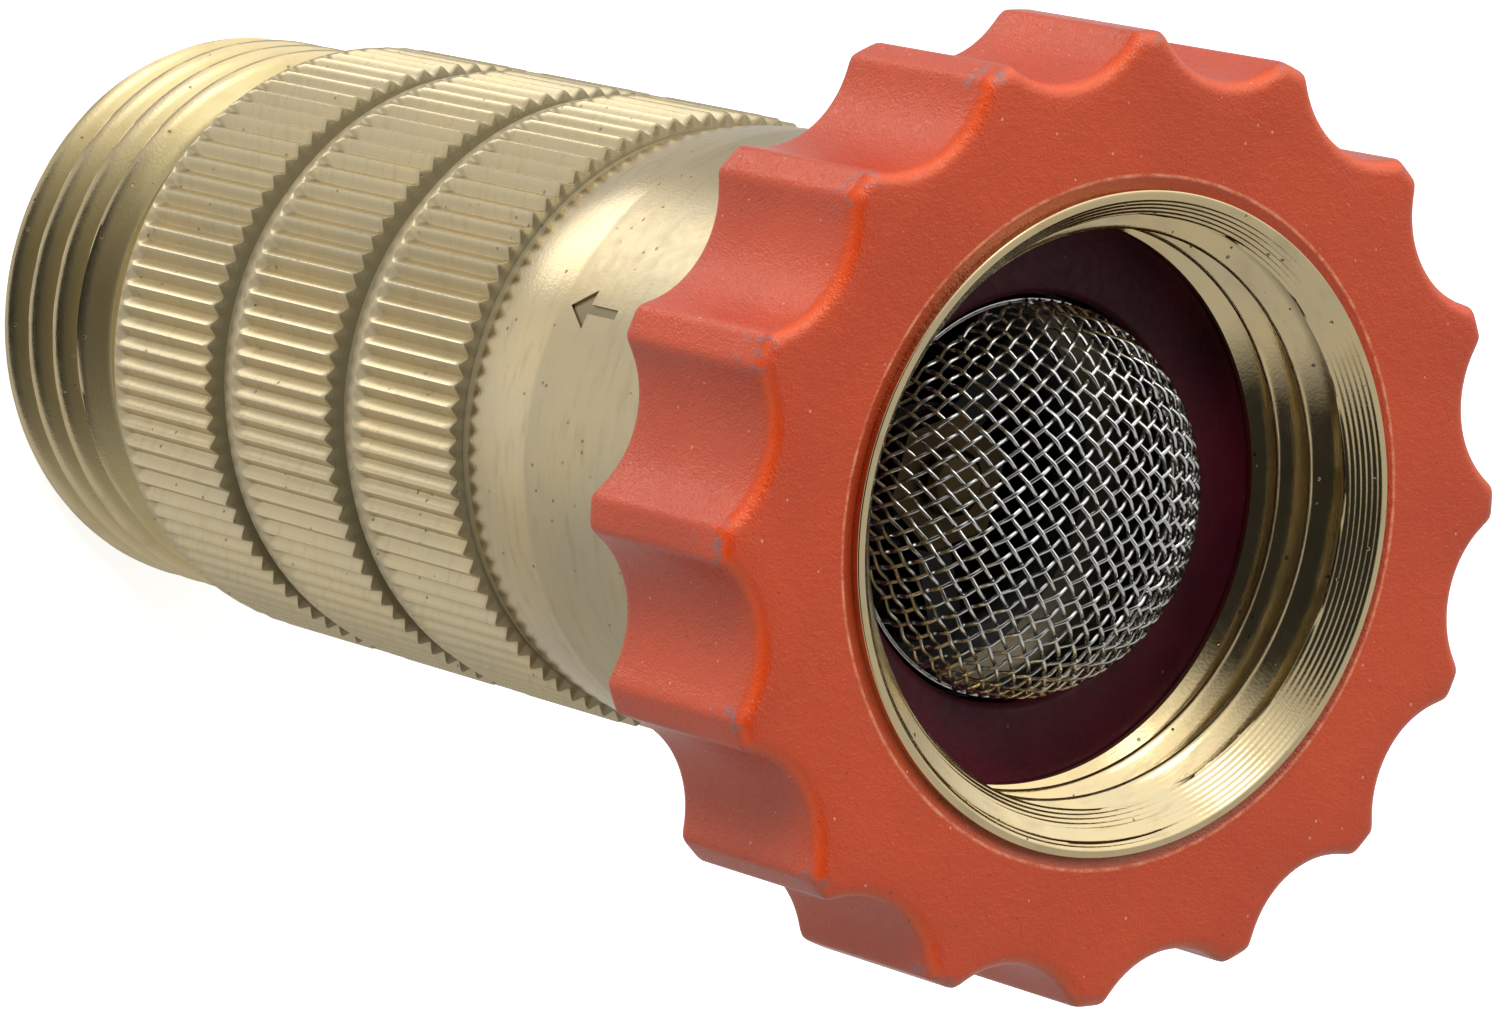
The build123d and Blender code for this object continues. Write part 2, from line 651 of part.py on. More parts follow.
# ---- washer and screen --------------------------------------------------------------
def inlet_washer():
    top = WASHER_BOTTOM_Z + WASHER_THICK
    recess_top = WASHER_BOTTOM_Z + SCREEN_THICK + 0.04
    edge = 0.35
    return turned([
        (SCREEN_FLANGE_R + 0.1, WASHER_BOTTOM_Z),
        (WASHER_R - edge, WASHER_BOTTOM_Z),
        (WASHER_R, WASHER_BOTTOM_Z + edge),
        (WASHER_R, top - edge),
        (WASHER_R - edge, top),
        (WASHER_BORE_R + edge, top),
        (WASHER_BORE_R, top - edge),
        (WASHER_BORE_R, recess_top),
        (SCREEN_FLANGE_R + 0.1, recess_top),
    ])


def inlet_screen():
    """Domed strainer with a flat flange; the weave is thinner than its solid shell."""
    inner_r = SCREEN_DOME_R - SCREEN_THICK
    bottom = WASHER_BOTTOM_Z + 0.02
    shell = Ellipse(SCREEN_DOME_R, SCREEN_DOME_HEIGHT)
    shell -= Ellipse(inner_r, SCREEN_DOME_HEIGHT - SCREEN_THICK)
    quadrant = Pos(SCREEN_DOME_R, SCREEN_DOME_R) * Rectangle(2 * SCREEN_DOME_R, 2 * SCREEN_DOME_R)
    section = Plane.XZ * Pos(0, SCREEN_RISE_START_Z) * (shell & quadrant)
    screen = revolve(section, Axis.Z)
    screen += ring(inner_r, SCREEN_DOME_R, bottom, SCREEN_RISE_START_Z)
    return screen + ring(inner_r, SCREEN_FLANGE_R, bottom, bottom + SCREEN_THICK)


NODES = {
    "outlet_body": outlet_body,
    "inlet_body": inlet_body,
    "body_o_ring": body_o_ring,
    "stem_o_ring": stem_o_ring,
    "gland_retainer": gland_retainer,
    "piston_head": piston_head,
    "piston_stem": piston_stem,
    "piston_o_ring": piston_o_ring,
    "piston_guide_ring": piston_guide_ring,
    "main_spring": main_spring,
    "preload_shim": preload_shim,
    "spring_seat_washer": spring_seat_washer,
    "seat_spider": seat_spider,
    "seat_holder": seat_holder,
    "seat_disc": seat_disc,
    "seat_nut": seat_nut,
    "spider_clip": spider_clip,
    "nut_insert": nut_insert,
    "nut_grip": nut_grip,
    "nut_retaining_ring": nut_retaining_ring,
    "inlet_washer": inlet_washer,
    "inlet_screen": inlet_screen,
}

os.makedirs("parts", exist_ok=True)
for node, build in NODES.items():
    save(node, build())
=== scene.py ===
import math

import bpy
import numpy as np
from mathutils import Matrix, Vector


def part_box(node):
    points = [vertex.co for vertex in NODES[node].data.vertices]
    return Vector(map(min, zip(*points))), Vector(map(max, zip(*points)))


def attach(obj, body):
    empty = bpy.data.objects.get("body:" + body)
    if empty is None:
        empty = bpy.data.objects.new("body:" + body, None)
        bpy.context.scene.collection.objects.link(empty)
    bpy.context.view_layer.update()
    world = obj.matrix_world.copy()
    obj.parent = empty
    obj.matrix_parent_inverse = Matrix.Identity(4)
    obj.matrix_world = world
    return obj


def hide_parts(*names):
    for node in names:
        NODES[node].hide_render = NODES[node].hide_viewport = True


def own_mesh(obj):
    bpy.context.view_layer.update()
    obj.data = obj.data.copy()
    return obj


# Looks for the in-line water pressure regulator.  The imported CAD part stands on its
# outlet with +Z along the flow axis.  Lengths below are millimetres; MM makes metres.

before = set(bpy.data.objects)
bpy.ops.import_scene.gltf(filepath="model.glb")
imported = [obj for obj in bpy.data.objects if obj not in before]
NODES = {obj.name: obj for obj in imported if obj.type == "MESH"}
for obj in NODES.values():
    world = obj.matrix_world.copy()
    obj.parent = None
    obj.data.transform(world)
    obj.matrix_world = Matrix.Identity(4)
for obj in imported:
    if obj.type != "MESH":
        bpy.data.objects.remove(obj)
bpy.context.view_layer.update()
MM = 0.001


def level(node, top):
    """The lowest or highest z of a CAD node, in millimetres."""
    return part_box(node)[1 if top else 0].z / MM


# ---- dimensions ---------------------------------------------------------------------
OUTLET_TOP = level("outlet_body", True)
RIM_TOP = level("nut_insert", True)
NUT_BACK = level("nut_insert", False)
GRIP_BACK = level("nut_grip", False)
GRIP_FRONT = level("nut_grip", True)
WASHER_BACK = level("inlet_washer", False)
WASHER_FRONT = level("inlet_washer", True)
SCREEN_TOP = level("inlet_screen", True)
SCREEN_BACK = level("inlet_screen", False)

PITCH = 25.4 / 11.5          # 3/4-11.5NH hose thread
THREAD_SLOPE = math.tan(math.radians(30))
CREST_FLAT = PITCH / 8
THREAD_STEP = 0.085          # height between two rings of a thread's mesh
MALE_ROUNDING = 0.16         # softness of the crests and roots
FEMALE_ROUNDING = 0.09
MALE_CREST_R = 13.4
MALE_ROOT_R = 12.05
MALE_END = 8.6
MALE_PHASE = 38.7            # degrees
FEMALE_CREST_R = 12.3
FEMALE_ROOT_R = 13.65
FEMALE_PHASE = 130.0
FEMALE_START = WASHER_FRONT + 0.05
FEMALE_LEAD = 0.47 * PITCH    # plain land at the thread's inner end
TOOL_MARK_PITCH = 0.17       # turning lines on the lead-in cone

RIBS = 92
RIB_PHASE = 1.45
RIB_CREST_R = 14.08
RIB_VALLEY_R = 13.68
RIB_SAMPLES = 10
RIB_RUN_IN = ((0.0, 0.0), (0.22, 0.1), (0.55, 0.26), (0.85, 0.46), (1.0, 0.72))  # share, height
LAND = 0.85                  # smooth bevel ahead of each band's ribs
FIRST_LAND = 0.25
BANDS = 3
BAND_PITCH = 10.08
GROOVE = 1.38
FIRST_BAND = 12.35
BAND_EDGE_R = 13.8
BAND_LAND_R = 14.0
COLLAR_END = 46.4            # the convex collar meets the plain barrel here
BARREL_R = 13.95
GROOVE_R = 13.0
NECK_R = 12.0

OUTLET_BORE_R = 9.6
CHAMBER_R = 11.0
CHAMBER_START = 13.0
JOINT_R = 12.0
JOINT_LEDGE = 33.0
VENT_R = 0.6                 # hole into the spring's chamber, on the +Y side

RIM_R = 14.24
MOUTH_R = 13.89
NUT_BODY_R = 15.2
KEY_APOTHEM = 14.95
KEY_FLATS = 12
KEY_GAP = 0.02               # the flats' corners stay inside the round body by this
KEY_START = GRIP_BACK + 0.6
NECK_LENGTH = 1.4
RELIEF_R = 12.8
BACK_BORE_R = 11.08
RING_R = 11.69
RING_HALF = 0.53
RING_Z = NUT_BACK + 1.45

LOBES = 16
LOBE_PHASE = 14.0
TIP_R = 20.838
VALLEY_R = 19.15
TIP_HALF_ANGLE = math.radians(2.2)
TIP_SOFTNESS = 0.13          # how far each tip blends into the hollows beside it
EDGE_ROUND = 0.7
EDGE_STEPS = 7
SIDE_STEPS = 5
END_MARGIN = 0.9             # width of the flat ring just inside each rounded edge
LIP_R = RIM_R + 0.56         # outer edge of the step round the rim
LIP_DEPTH = 0.18

WASHER_R = 12.6
WASHER_BORE_R = 8.9
FLANGE_R = 10.8
DOME_R = 8.6
DOME_BASE = 63.6
WIRE_PITCH = 0.71
WIRE_R = 0.09
DOME_HEIGHT = SCREEN_TOP - WIRE_R - 0.1 - DOME_BASE
WEAVE_TURN = math.radians(50.0)
WEAVE_REACH = 19             # crossings from the crown to the foot of the dome

SPRING_R = 7.9
SPRING_WIRE_R = 0.8
SPRING_TURNS = 5.5

SHARP = 38.0                 # edges sharper than this many degrees stay hard


# ---- mesh helpers -------------------------------------------------------------------
def angles(count, phase=0.0):
    return math.radians(phase) + np.arange(count) * 2 * math.pi / count


def ring(phis, radius, z):
    """One closed ring of points in millimetres; radius and z may vary round the ring."""
    radius = np.broadcast_to(np.asarray(radius, float), phis.shape)
    z = np.broadcast_to(np.asarray(z, float), phis.shape)
    return np.stack([radius * np.cos(phis), radius * np.sin(phis), z], axis=1)


def bridge(low, low_count, high, high_count):
    """Faces between two rings; the finer one has a whole multiple of the coarser's points."""
    if low_count == high_count:
        return [
            (low + i, low + (i + 1) % low_count, high + (i + 1) % low_count, high + i)
            for i in range(low_count)
        ]
    if low_count > high_count:
        return [tuple(reversed(face)) for face in bridge(high, high_count, low, low_count)]
    share = high_count // low_count
    faces = []
    for i in range(low_count):
        fine = [high + (i * share + k) % high_count for k in range(share, -1, -1)]
        faces.append((low + i, low + (i + 1) % low_count, *fine))
    return faces


def skin(name, rings):
    """A smooth mesh through rings of points; the last ring joins the first."""
    starts = np.cumsum([0] + [len(points) for points in rings])
    faces = []
    for index in range(len(rings)):
        after = (index + 1) % len(rings)
        faces += bridge(starts[index], len(rings[index]), starts[after], len(rings[after]))
    return make_object(name, np.concatenate(rings), faces, SHARP)


def make_object(name, points, faces, sharp):
    """A smooth-shaded object from points in millimetres and faces of any number of corners."""
    mesh = bpy.data.meshes.new(name)
    mesh.from_pydata((np.asarray(points) * MM).tolist(), [], [[int(i) for i in f] for f in faces])
    mesh.validate()
    mesh.update()
    mesh.shade_smooth()
    mesh.set_sharp_from_angle(angle=math.radians(sharp))
    piece = bpy.data.objects.new(name, mesh)
    bpy.context.scene.collection.objects.link(piece)
    return piece


def rounded(corners, steps=3):
    """Replaces each (r, z, radius) corner of a closed outline by a short arc."""
    result = []
    count = len(corners)
    for index, (r, z, radius) in enumerate(corners):
        here = np.array([r, z])
        before = np.array(corners[index - 1][:2]) - here
        after = np.array(corners[(index + 1) % count][:2]) - here
        if radius <= 0:
            result.append((r, z))
            continue
        unit_a = before / np.linalg.norm(before)
        unit_b = after / np.linalg.norm(after)
        half = math.acos(np.clip(unit_a @ unit_b, -1, 1)) / 2
        reach = radius / math.tan(half)
        bisector = (unit_a + unit_b) / np.linalg.norm(unit_a + unit_b)
        middle = here + bisector * radius / math.sin(half)
        start = here + unit_a * reach - middle
        end = here + unit_b * reach - middle
        sweep = math.pi - 2 * half
        for step in range(steps + 1):
            share = step / steps
            blend = math.sin((1 - share) * sweep) * start + math.sin(share * sweep) * end
            point = middle + blend / math.sin(sweep)
            result.append((point[0], point[1]))
    return result


def tube(path, radius, sides):
    """Rings of a round tube along a path, without twist."""
    tangents = np.gradient(path, axis=0)
    tangents /= np.linalg.norm(tangents, axis=1)[:, None]
    across = np.cross(tangents[0], [0.31, 0.52, 0.79])
    across /= np.linalg.norm(across)
    rings = []
    turns = np.arange(sides) * 2 * math.pi / sides
    for point, tangent in zip(path, tangents):
        across = across - tangent * (across @ tangent)
        across /= np.linalg.norm(across)
        other = np.cross(tangent, across)
        circle = np.outer(np.cos(turns), across) + np.outer(np.sin(turns), other)
        rings.append(point + radius * circle)
    return rings


def join_shells(name, shells, sharp=60.0):
    """One object from (rings, capped) shells: capped ends, or the last ring joins the first."""
    points = []
    faces = []
    base = 0
    for rings, capped in shells:
        count = len(rings[0])
        last = len(rings) - 1 if capped else len(rings)
        for index in range(last):
            after = (index + 1) % len(rings)
            faces += bridge(base + index * count, count, base + after * count, count)
        if capped:
            faces.append(tuple(base + k for k in range(count - 1, -1, -1)))
            faces.append(tuple(base + (len(rings) - 1) * count + k for k in range(count)))
        points += rings
        base += len(rings) * count
    return make_object(name, np.concatenate(points), faces, sharp)


# ---- outlet body --------------------------------------------------------------------
def thread_height(phis, z, depth, phase, soft):
    """Height of a right-hand 60 degree thread above its root, with rounded corners."""
    turn = (z - PITCH * (phis - math.radians(phase)) / (2 * math.pi)) / PITCH
    from_groove = np.abs((turn + 0.5) % 1.0 - 0.5) * PITCH
    half_mouth = (PITCH - CREST_FLAT) / 2
    half_root = half_mouth - depth * THREAD_SLOPE
    flank = (from_groove - half_root) / THREAD_SLOPE
    low = np.logaddexp(0.0, flank / soft) * soft
    return depth - np.logaddexp(0.0, (depth - low) / soft) * soft


def male_thread_rings(count):
    """Rings from the outlet's edge chamfer up through the thread to the neck."""
    phis = angles(count, RIB_PHASE)
    depth = MALE_CREST_R - MALE_ROOT_R
    groove_start = -PITCH / 2
    rings = []
    for z in np.arange(0.0, MALE_END + 1.3, THREAD_STEP):
        height = thread_height(phis, z - groove_start, depth, MALE_PHASE, MALE_ROUNDING)
        radius = MALE_ROOT_R + np.maximum(height, 0.0)
        end_chamfer = MALE_ROOT_R + 0.12 + z
        radius = np.minimum(radius, end_chamfer)
        run_out = MALE_CREST_R - (z - (MALE_END - depth / 2)) * 4 / 3
        radius = np.minimum(radius, np.maximum(run_out, NECK_R))
        rings.append(ring(phis, radius, z))
    return rings


def rib_share():
    """How high each sample of a rib stands, 0 in the valley and 1 on the crest."""
    offset = np.abs((np.arange(RIB_SAMPLES) / RIB_SAMPLES + 0.5) % 1.0 - 0.5) * 2
    share = np.clip(1.12 - 1.22 * offset, 0.0, 1.0)
    return np.tile(share, RIBS)


def band_rings(start, end, below_r, above_r, land):
    """One knurled band, from the groove below it to the groove above it."""
    phis = angles(RIBS * RIB_SAMPLES, RIB_PHASE)
    share = rib_share()
    rings = [ring(phis, below_r, start), ring(phis, BAND_EDGE_R - 0.06, start)]
    rings.append(ring(phis, BAND_EDGE_R, start + 0.02))
    rings.append(ring(phis, BAND_EDGE_R + 0.05, start + 0.1))
    rings.append(ring(phis, BAND_LAND_R - 0.02, start + land - 0.08))
    for run_in, rise in RIB_RUN_IN:
        crest = BAND_LAND_R + (RIB_CREST_R - BAND_LAND_R) * run_in
        valley = BAND_LAND_R - (BAND_LAND_R - RIB_VALLEY_R) * run_in
        rings.append(ring(phis, valley + (crest - valley) * share, start + land + rise))
    full = RIB_VALLEY_R + (RIB_CREST_R - RIB_VALLEY_R) * share
    for z in np.linspace(start + land + 1.6, end - 0.5, 5):
        rings.append(ring(phis, full, z))
    rings.append(ring(phis, full, end - 0.08))
    rings.append(ring(phis, full - 0.03, end - 0.02))
    rings.append(ring(phis, full - 0.08, end))
    rings.append(ring(phis, above_r, end))
    return rings


def outlet_body():
    coarse = 2 * RIBS
    coarse_phis = angles(coarse, RIB_PHASE)
    rings = male_thread_rings(coarse)
    rings.append(ring(coarse_phis, NECK_R, FIRST_BAND - 1.2))
    for index in range(BANDS):
        end = OUTLET_TOP - (BANDS - 1 - index) * BAND_PITCH
        start = max(end - BAND_PITCH + GROOVE, FIRST_BAND)
        below = NECK_R + 0.8 if index == 0 else GROOVE_R
        above = JOINT_R if index == BANDS - 1 else GROOVE_R
        if index == 0:
            rings.append(ring(coarse_phis, NECK_R, start - 0.8))
            rings.append(ring(coarse_phis, NECK_R + 0.3, start - 0.35))
        rings += band_rings(start, end, below, above, FIRST_LAND if index == 0 else LAND)
    inside = [
        (JOINT_R, JOINT_LEDGE, 0.1),
        (CHAMBER_R, JOINT_LEDGE, 0.1),
        (CHAMBER_R, CHAMBER_START, 0.15),
        (OUTLET_BORE_R, CHAMBER_START, 0.15),
        (OUTLET_BORE_R, 0.4, 0.1),
        (OUTLET_BORE_R + 0.4, 0.0, 0.1),
    ]
    for r, z in rounded(inside + [(MALE_ROOT_R, 0.0, 0.0)])[:-1]:
        rings.append(ring(coarse_phis, r, z))
    body = skin("outlet_body_turned", rings)
    drill(body, OUTLET_TOP - BAND_PITCH + GROOVE / 2)
    return body


def drill(body, z):
    """Cuts the vent hole through the wall at height z."""
    path = np.array([(0, y, z) for y in np.linspace(CHAMBER_R - 1, GROOVE_R + 1, 3)])
    cutter = join_shells("vent_drill", [(tube(path, VENT_R, sides=32), True)])
    cut = body.modifiers.new("vent", "BOOLEAN")
    cut.object = cutter
    cut.operation = "DIFFERENCE"
    cut.solver = "EXACT"
    bpy.context.view_layer.update()
    solid = body.data
    drilled = body.evaluated_get(bpy.context.evaluated_depsgraph_get())
    body.data = bpy.data.meshes.new_from_object(drilled)
    body.modifiers.clear()
    bpy.data.meshes.remove(solid)
    bpy.data.objects.remove(cutter)
    body.data.shade_smooth()
    body.data.set_sharp_from_angle(angle=math.radians(SHARP))


# ---- swivel nut ---------------------------------------------------------------------
def key_radius(phis):
    """The twelve flats under the grip that stop it turning on the brass."""
    step = 2 * math.pi / KEY_FLATS
    off_flat = np.abs(phis % step - step / 2)
    return np.minimum(NUT_BODY_R - KEY_GAP, KEY_APOTHEM / np.cos(off_flat))


def female_thread_rings(phis):
    """Rings from the rim's inner edge down the lead-in cone and the thread."""
    depth = FEMALE_ROOT_R - FEMALE_CREST_R
    start = FEMALE_START + FEMALE_LEAD
    rings = []
    for z in np.arange(RIM_TOP - 0.09, FEMALE_START, -THREAD_STEP):
        height = thread_height(phis, z - start, depth, FEMALE_PHASE, FEMALE_ROUNDING)
        cone = MOUTH_R - (RIM_TOP - z)
        land = FEMALE_CREST_R + max(0.0, z - FEMALE_START - 0.3) * 1.6
        radius = np.minimum(FEMALE_ROOT_R - height, land)
        radius = np.maximum(radius, cone)
        rings.append(ring(phis, radius, z))
    return rings


def nut_insert():
    """The brass nut: outside from back to rim, then the thread, then the bores of its back."""
    phis = angles(288)
    neck = RIM_TOP - NECK_LENGTH
    outer = [
        (BACK_BORE_R + 1, NUT_BACK, 0.0),
        (NUT_BODY_R - 0.5, NUT_BACK, 0.1),
        (NUT_BODY_R, NUT_BACK + 0.5, 0.15),
        (NUT_BODY_R, KEY_START, 0.0),
    ]
    shell = [ring(phis, r, z) for r, z in rounded(outer)[1:]]
    shell.append(ring(phis, key_radius(phis), KEY_START))
    shell.append(ring(phis, key_radius(phis), neck))
    rim = [
        (RIM_R, neck, 0.0),
        (RIM_R, RIM_TOP, 0.07),
        (MOUTH_R, RIM_TOP, 0.08),
        (MOUTH_R - 0.3, RIM_TOP - 0.3, 0.0),
    ]
    shell += [ring(phis, r, z) for r, z in rounded(rim)[:-1]]
    thread = female_thread_rings(phis)
    back = [
        (RELIEF_R, FEMALE_START, 0.0),
        (RELIEF_R, WASHER_BACK - 0.05, 0.1),
        (BACK_BORE_R, WASHER_BACK - 0.05, 0.15),
        (BACK_BORE_R, RING_Z + RING_HALF, 0.05),
        (RING_R, RING_Z + RING_HALF, 0.15),
        (RING_R, RING_Z - RING_HALF, 0.15),
        (BACK_BORE_R, RING_Z - RING_HALF, 0.05),
        (BACK_BORE_R, NUT_BACK + 0.3, 0.1),
        (BACK_BORE_R + 0.3, NUT_BACK, 0.1),
    ]
    closing = (NUT_BODY_R - 1, NUT_BACK, 0.0)
    inside = [ring(phis, r, z) for r, z in rounded(back + [closing])[:-1]]
    return skin("swivel_nut_brass", shell + thread + inside)


def lobed_radius(phis, inset):
    """The grip's outline, moved inwards by inset: round tips with a hollow between each pair."""
    half_step = math.pi / LOBES
    reach = half_step - TIP_HALF_ANGLE
    half_chord = TIP_R * math.sin(reach)
    sagitta = TIP_R * math.cos(reach) - VALLEY_R
    hollow_r = (half_chord**2 + sagitta**2) / (2 * sagitta)
    centre_r = VALLEY_R + hollow_r
    from_tip = (phis - math.radians(LOBE_PHASE)) % (2 * half_step)
    off_hollow = np.abs(from_tip - half_step)
    sides = []
    for off in (off_hollow, 2 * half_step - off_hollow):
        square = (hollow_r + inset) ** 2 - (centre_r * np.sin(off)) ** 2
        side = centre_r * np.cos(off) - np.sqrt(np.maximum(square, 0.0))
        sides.append(side)
    tip = np.full_like(phis, TIP_R + 0.02 - inset)
    total = sum(np.exp((TIP_R - outline) / TIP_SOFTNESS) for outline in (tip, *sides))
    return TIP_R - TIP_SOFTNESS * np.log(total)


def mark_glow_edges(piece, count, bends):
    """Point attribute: one along the middle of the grip's two rounded edges, where a painted glow
    goes.
    """
    rises = np.sin(2 * bends) ** 3
    values = np.zeros(len(piece.data.vertices))
    back_start = count
    front_start = (1 + len(bends) + SIDE_STEPS) * count
    for start, weights in ((back_start, rises), (front_start, rises[::-1])):
        values[start:start + len(bends) * count] = np.repeat(weights, count)
    attribute = piece.data.attributes.new("glow_edge", "FLOAT", "POINT")
    attribute.data.foreach_set("value", values)


def nut_grip():
    """The lobed grip: outside from back to front, then the lip, then its keyed bore."""
    phis = angles(LOBES * 48, LOBE_PHASE)
    bends = np.linspace(0, math.pi / 2, EDGE_STEPS)
    flat_edge = lobed_radius(phis, EDGE_ROUND + END_MARGIN)
    rings = [ring(phis, flat_edge, GRIP_BACK)]
    for bend in bends:
        inset = EDGE_ROUND * (1 - math.sin(bend))
        rise = EDGE_ROUND * (1 - math.cos(bend))
        rings.append(ring(phis, lobed_radius(phis, inset), GRIP_BACK + rise))
    side = np.linspace(GRIP_BACK + EDGE_ROUND, GRIP_FRONT - EDGE_ROUND, SIDE_STEPS + 2)[1:-1]
    rings += [ring(phis, lobed_radius(phis, 0.0), z) for z in side]
    for bend in bends[::-1]:
        inset = EDGE_ROUND * (1 - math.sin(bend))
        drop = EDGE_ROUND * (1 - math.cos(bend))
        rings.append(ring(phis, lobed_radius(phis, inset), GRIP_FRONT - drop))
    rings.append(ring(phis, flat_edge, GRIP_FRONT))
    lip = [
        (LIP_R + 1, GRIP_FRONT, 0.0),
        (LIP_R, GRIP_FRONT, 0.12),
        (RIM_R, GRIP_FRONT - LIP_DEPTH, 0.0),
    ]
    rings += [ring(phis, r, z) for r, z in rounded(lip)]
    neck = RIM_TOP - NECK_LENGTH
    rings.append(ring(phis, RIM_R, neck))
    rings.append(ring(phis, key_radius(phis), neck))
    rings.append(ring(phis, key_radius(phis), KEY_START))
    rings.append(ring(phis, NUT_BODY_R, KEY_START))
    rings.append(ring(phis, NUT_BODY_R, GRIP_BACK + 0.1))
    rings.append(ring(phis, NUT_BODY_R + 0.1, GRIP_BACK))
    rings.append(ring(phis, NUT_BODY_R + 1.0, GRIP_BACK))
    piece = skin("swivel_nut_grip", rings)
    mark_glow_edges(piece, len(phis), bends)
    return piece


# ---- washer and strainer ------------------------------------------------------------
def inlet_washer():
    recess = SCREEN_BACK + 0.38
    corners = [
        (FLANGE_R + 0.1, WASHER_BACK, 0.05),
        (WASHER_R, WASHER_BACK, 0.35),
        (WASHER_R, WASHER_FRONT, 0.35),
        (WASHER_BORE_R, WASHER_FRONT, 0.35),
        (WASHER_BORE_R, recess, 0.05),
        (FLANGE_R + 0.1, recess, 0.05),
    ]
    phis = angles(192)
    return skin("washer_rubber", [ring(phis, r, z) for r, z in rounded(corners, steps=5)])


def dome_point(guess, near_a, near_b, length):
    """The point on the dome that lies one mesh length from two neighbours (Newton)."""
    axes = np.array([DOME_R - WIRE_R, DOME_R - WIRE_R, DOME_HEIGHT])
    base = np.array([0, 0, DOME_BASE])
    point = guess.copy()
    for _ in range(12):
        scaled = (point - base) / axes
        to_a = point - near_a
        to_b = point - near_b
        miss = np.array([
            to_a @ to_a - length**2,
            to_b @ to_b - length**2,
            (scaled @ scaled - 1) * 10,
        ])
        slope = np.stack([2 * to_a, 2 * to_b, 20 * scaled / axes])
        point = point - np.linalg.lstsq(slope, miss, rcond=None)[0]
    return point


def dome_arc(direction, length, count):
    """Points one mesh length apart from the crown down one side of the dome."""
    fine = np.linspace(0, math.pi / 2, 4000)
    out = (DOME_R - WIRE_R) * np.sin(fine)
    up = DOME_BASE + DOME_HEIGHT * np.cos(fine)
    run = np.concatenate([[0], np.cumsum(np.hypot(np.diff(out), np.diff(up)))])
    stops = np.arange(count) * length
    out_at = np.interp(stops, run, out)
    up_at = np.interp(stops, run, up) - np.maximum(stops - run[-1], 0)
    return np.stack([out_at * direction[0], out_at * direction[1], up_at], axis=1)


def weave_nodes():
    """Crossings of a square mesh pressed onto the dome: every side keeps its length."""
    lowest = DOME_BASE + 0.35
    grid = {}
    for quarter in range(4):
        turn_i = WEAVE_TURN + quarter * math.pi / 2
        turn_j = turn_i + math.pi / 2
        along_i = dome_arc((math.cos(turn_i), math.sin(turn_i)), WIRE_PITCH, WEAVE_REACH)
        along_j = dome_arc((math.cos(turn_j), math.sin(turn_j)), WIRE_PITCH, WEAVE_REACH)
        local = {}
        for k in range(WEAVE_REACH):
            local[k, 0] = along_i[k]
            local[0, k] = along_j[k]
        for i in range(1, WEAVE_REACH):
            for j in range(1, WEAVE_REACH):
                sides = [local.get(key) for key in ((i - 1, j), (i, j - 1), (i - 1, j - 1))]
                if any(side is None for side in sides):
                    continue
                if min(sides[0][2], sides[1][2]) < lowest:
                    continue
                guess = sides[0] + sides[1] - sides[2]
                local[i, j] = dome_point(guess, sides[0], sides[1], WIRE_PITCH)
        axis_i = [(1, 0), (0, 1), (-1, 0), (0, -1)][quarter]
        axis_j = [(0, 1), (-1, 0), (0, -1), (1, 0)][quarter]
        for (i, j), point in local.items():
            key = (i * axis_i[0] + j * axis_j[0], i * axis_i[1] + j * axis_j[1])
            grid[key] = point
    return {key: point for key, point in grid.items() if point[2] > DOME_BASE - 0.6}


def wire_runs(grid, family):
    """Lists of neighbouring crossings along each wire of one family."""
    span = range(-WEAVE_REACH, WEAVE_REACH + 1)
    for fixed in span:
        run = []
        for moving in span:
            key = (moving, fixed) if family == 0 else (fixed, moving)
            if key in grid:
                run.append((key, grid[key]))
            elif run:
                yield run
                run = []
        if run:
            yield run


def crimped_path(run, family):
    """A wire's centre line, which passes over and under the wires that it crosses."""
    axes = np.array([DOME_R, DOME_R, DOME_HEIGHT])
    points = np.array([point for _, point in run])
    normals = (points - [0, 0, DOME_BASE]) / axes**2
    normals[:, 2] = np.maximum(normals[:, 2], 0)
    normals /= np.linalg.norm(normals, axis=1)[:, None]
    side = np.array([1 if (key[0] + key[1]) % 2 == 0 else -1 for key, _ in run])
    side = side if family == 0 else -side
    steps = 6
    path = []
    for index in range(len(points) - 1):
        before = points[max(index - 1, 0)]
        a, b = points[index], points[index + 1]
        after = points[min(index + 2, len(points) - 1)]
        for step in range(steps):
            t = step / steps
            curve = 0.5 * (
                2 * a + (b - before) * t
                + (2 * before - 5 * a + 4 * b - after) * t**2
                + (3 * a - before - 3 * b + after) * t**3
            )
            normal = normals[index] * (1 - t) + normals[index + 1] * t
            lift = side[index] * math.cos(math.pi * t) * WIRE_R * 1.02
            path.append(curve + normal * lift)
    path.append(points[-1] + normals[-1] * side[-1] * WIRE_R)
    return np.array(path)


def inlet_screen():
    """Every wire of the dome, with the flange that the washer holds."""
    grid = weave_nodes()
    shells = []
    for family in (0, 1):
        for run in wire_runs(grid, family):
            if len(run) > 1:
                shells.append((tube(crimped_path(run, family), WIRE_R, sides=6), True))
    phis = angles(128)
    flange = [
        (DOME_R - 0.1, SCREEN_BACK, 0.05),
        (FLANGE_R, SCREEN_BACK, 0.1),
        (FLANGE_R, SCREEN_BACK + 0.36, 0.1),
        (DOME_R + 0.1, SCREEN_BACK + 0.36, 0.1),
        (DOME_R + 0.1, DOME_BASE - 0.1, 0.05),
        (DOME_R - 0.1, DOME_BASE - 0.1, 0.05),
    ]
    shells.append(([ring(phis, r, z) for r, z in rounded(flange)], False))
    return join_shells("strainer_mesh", shells)


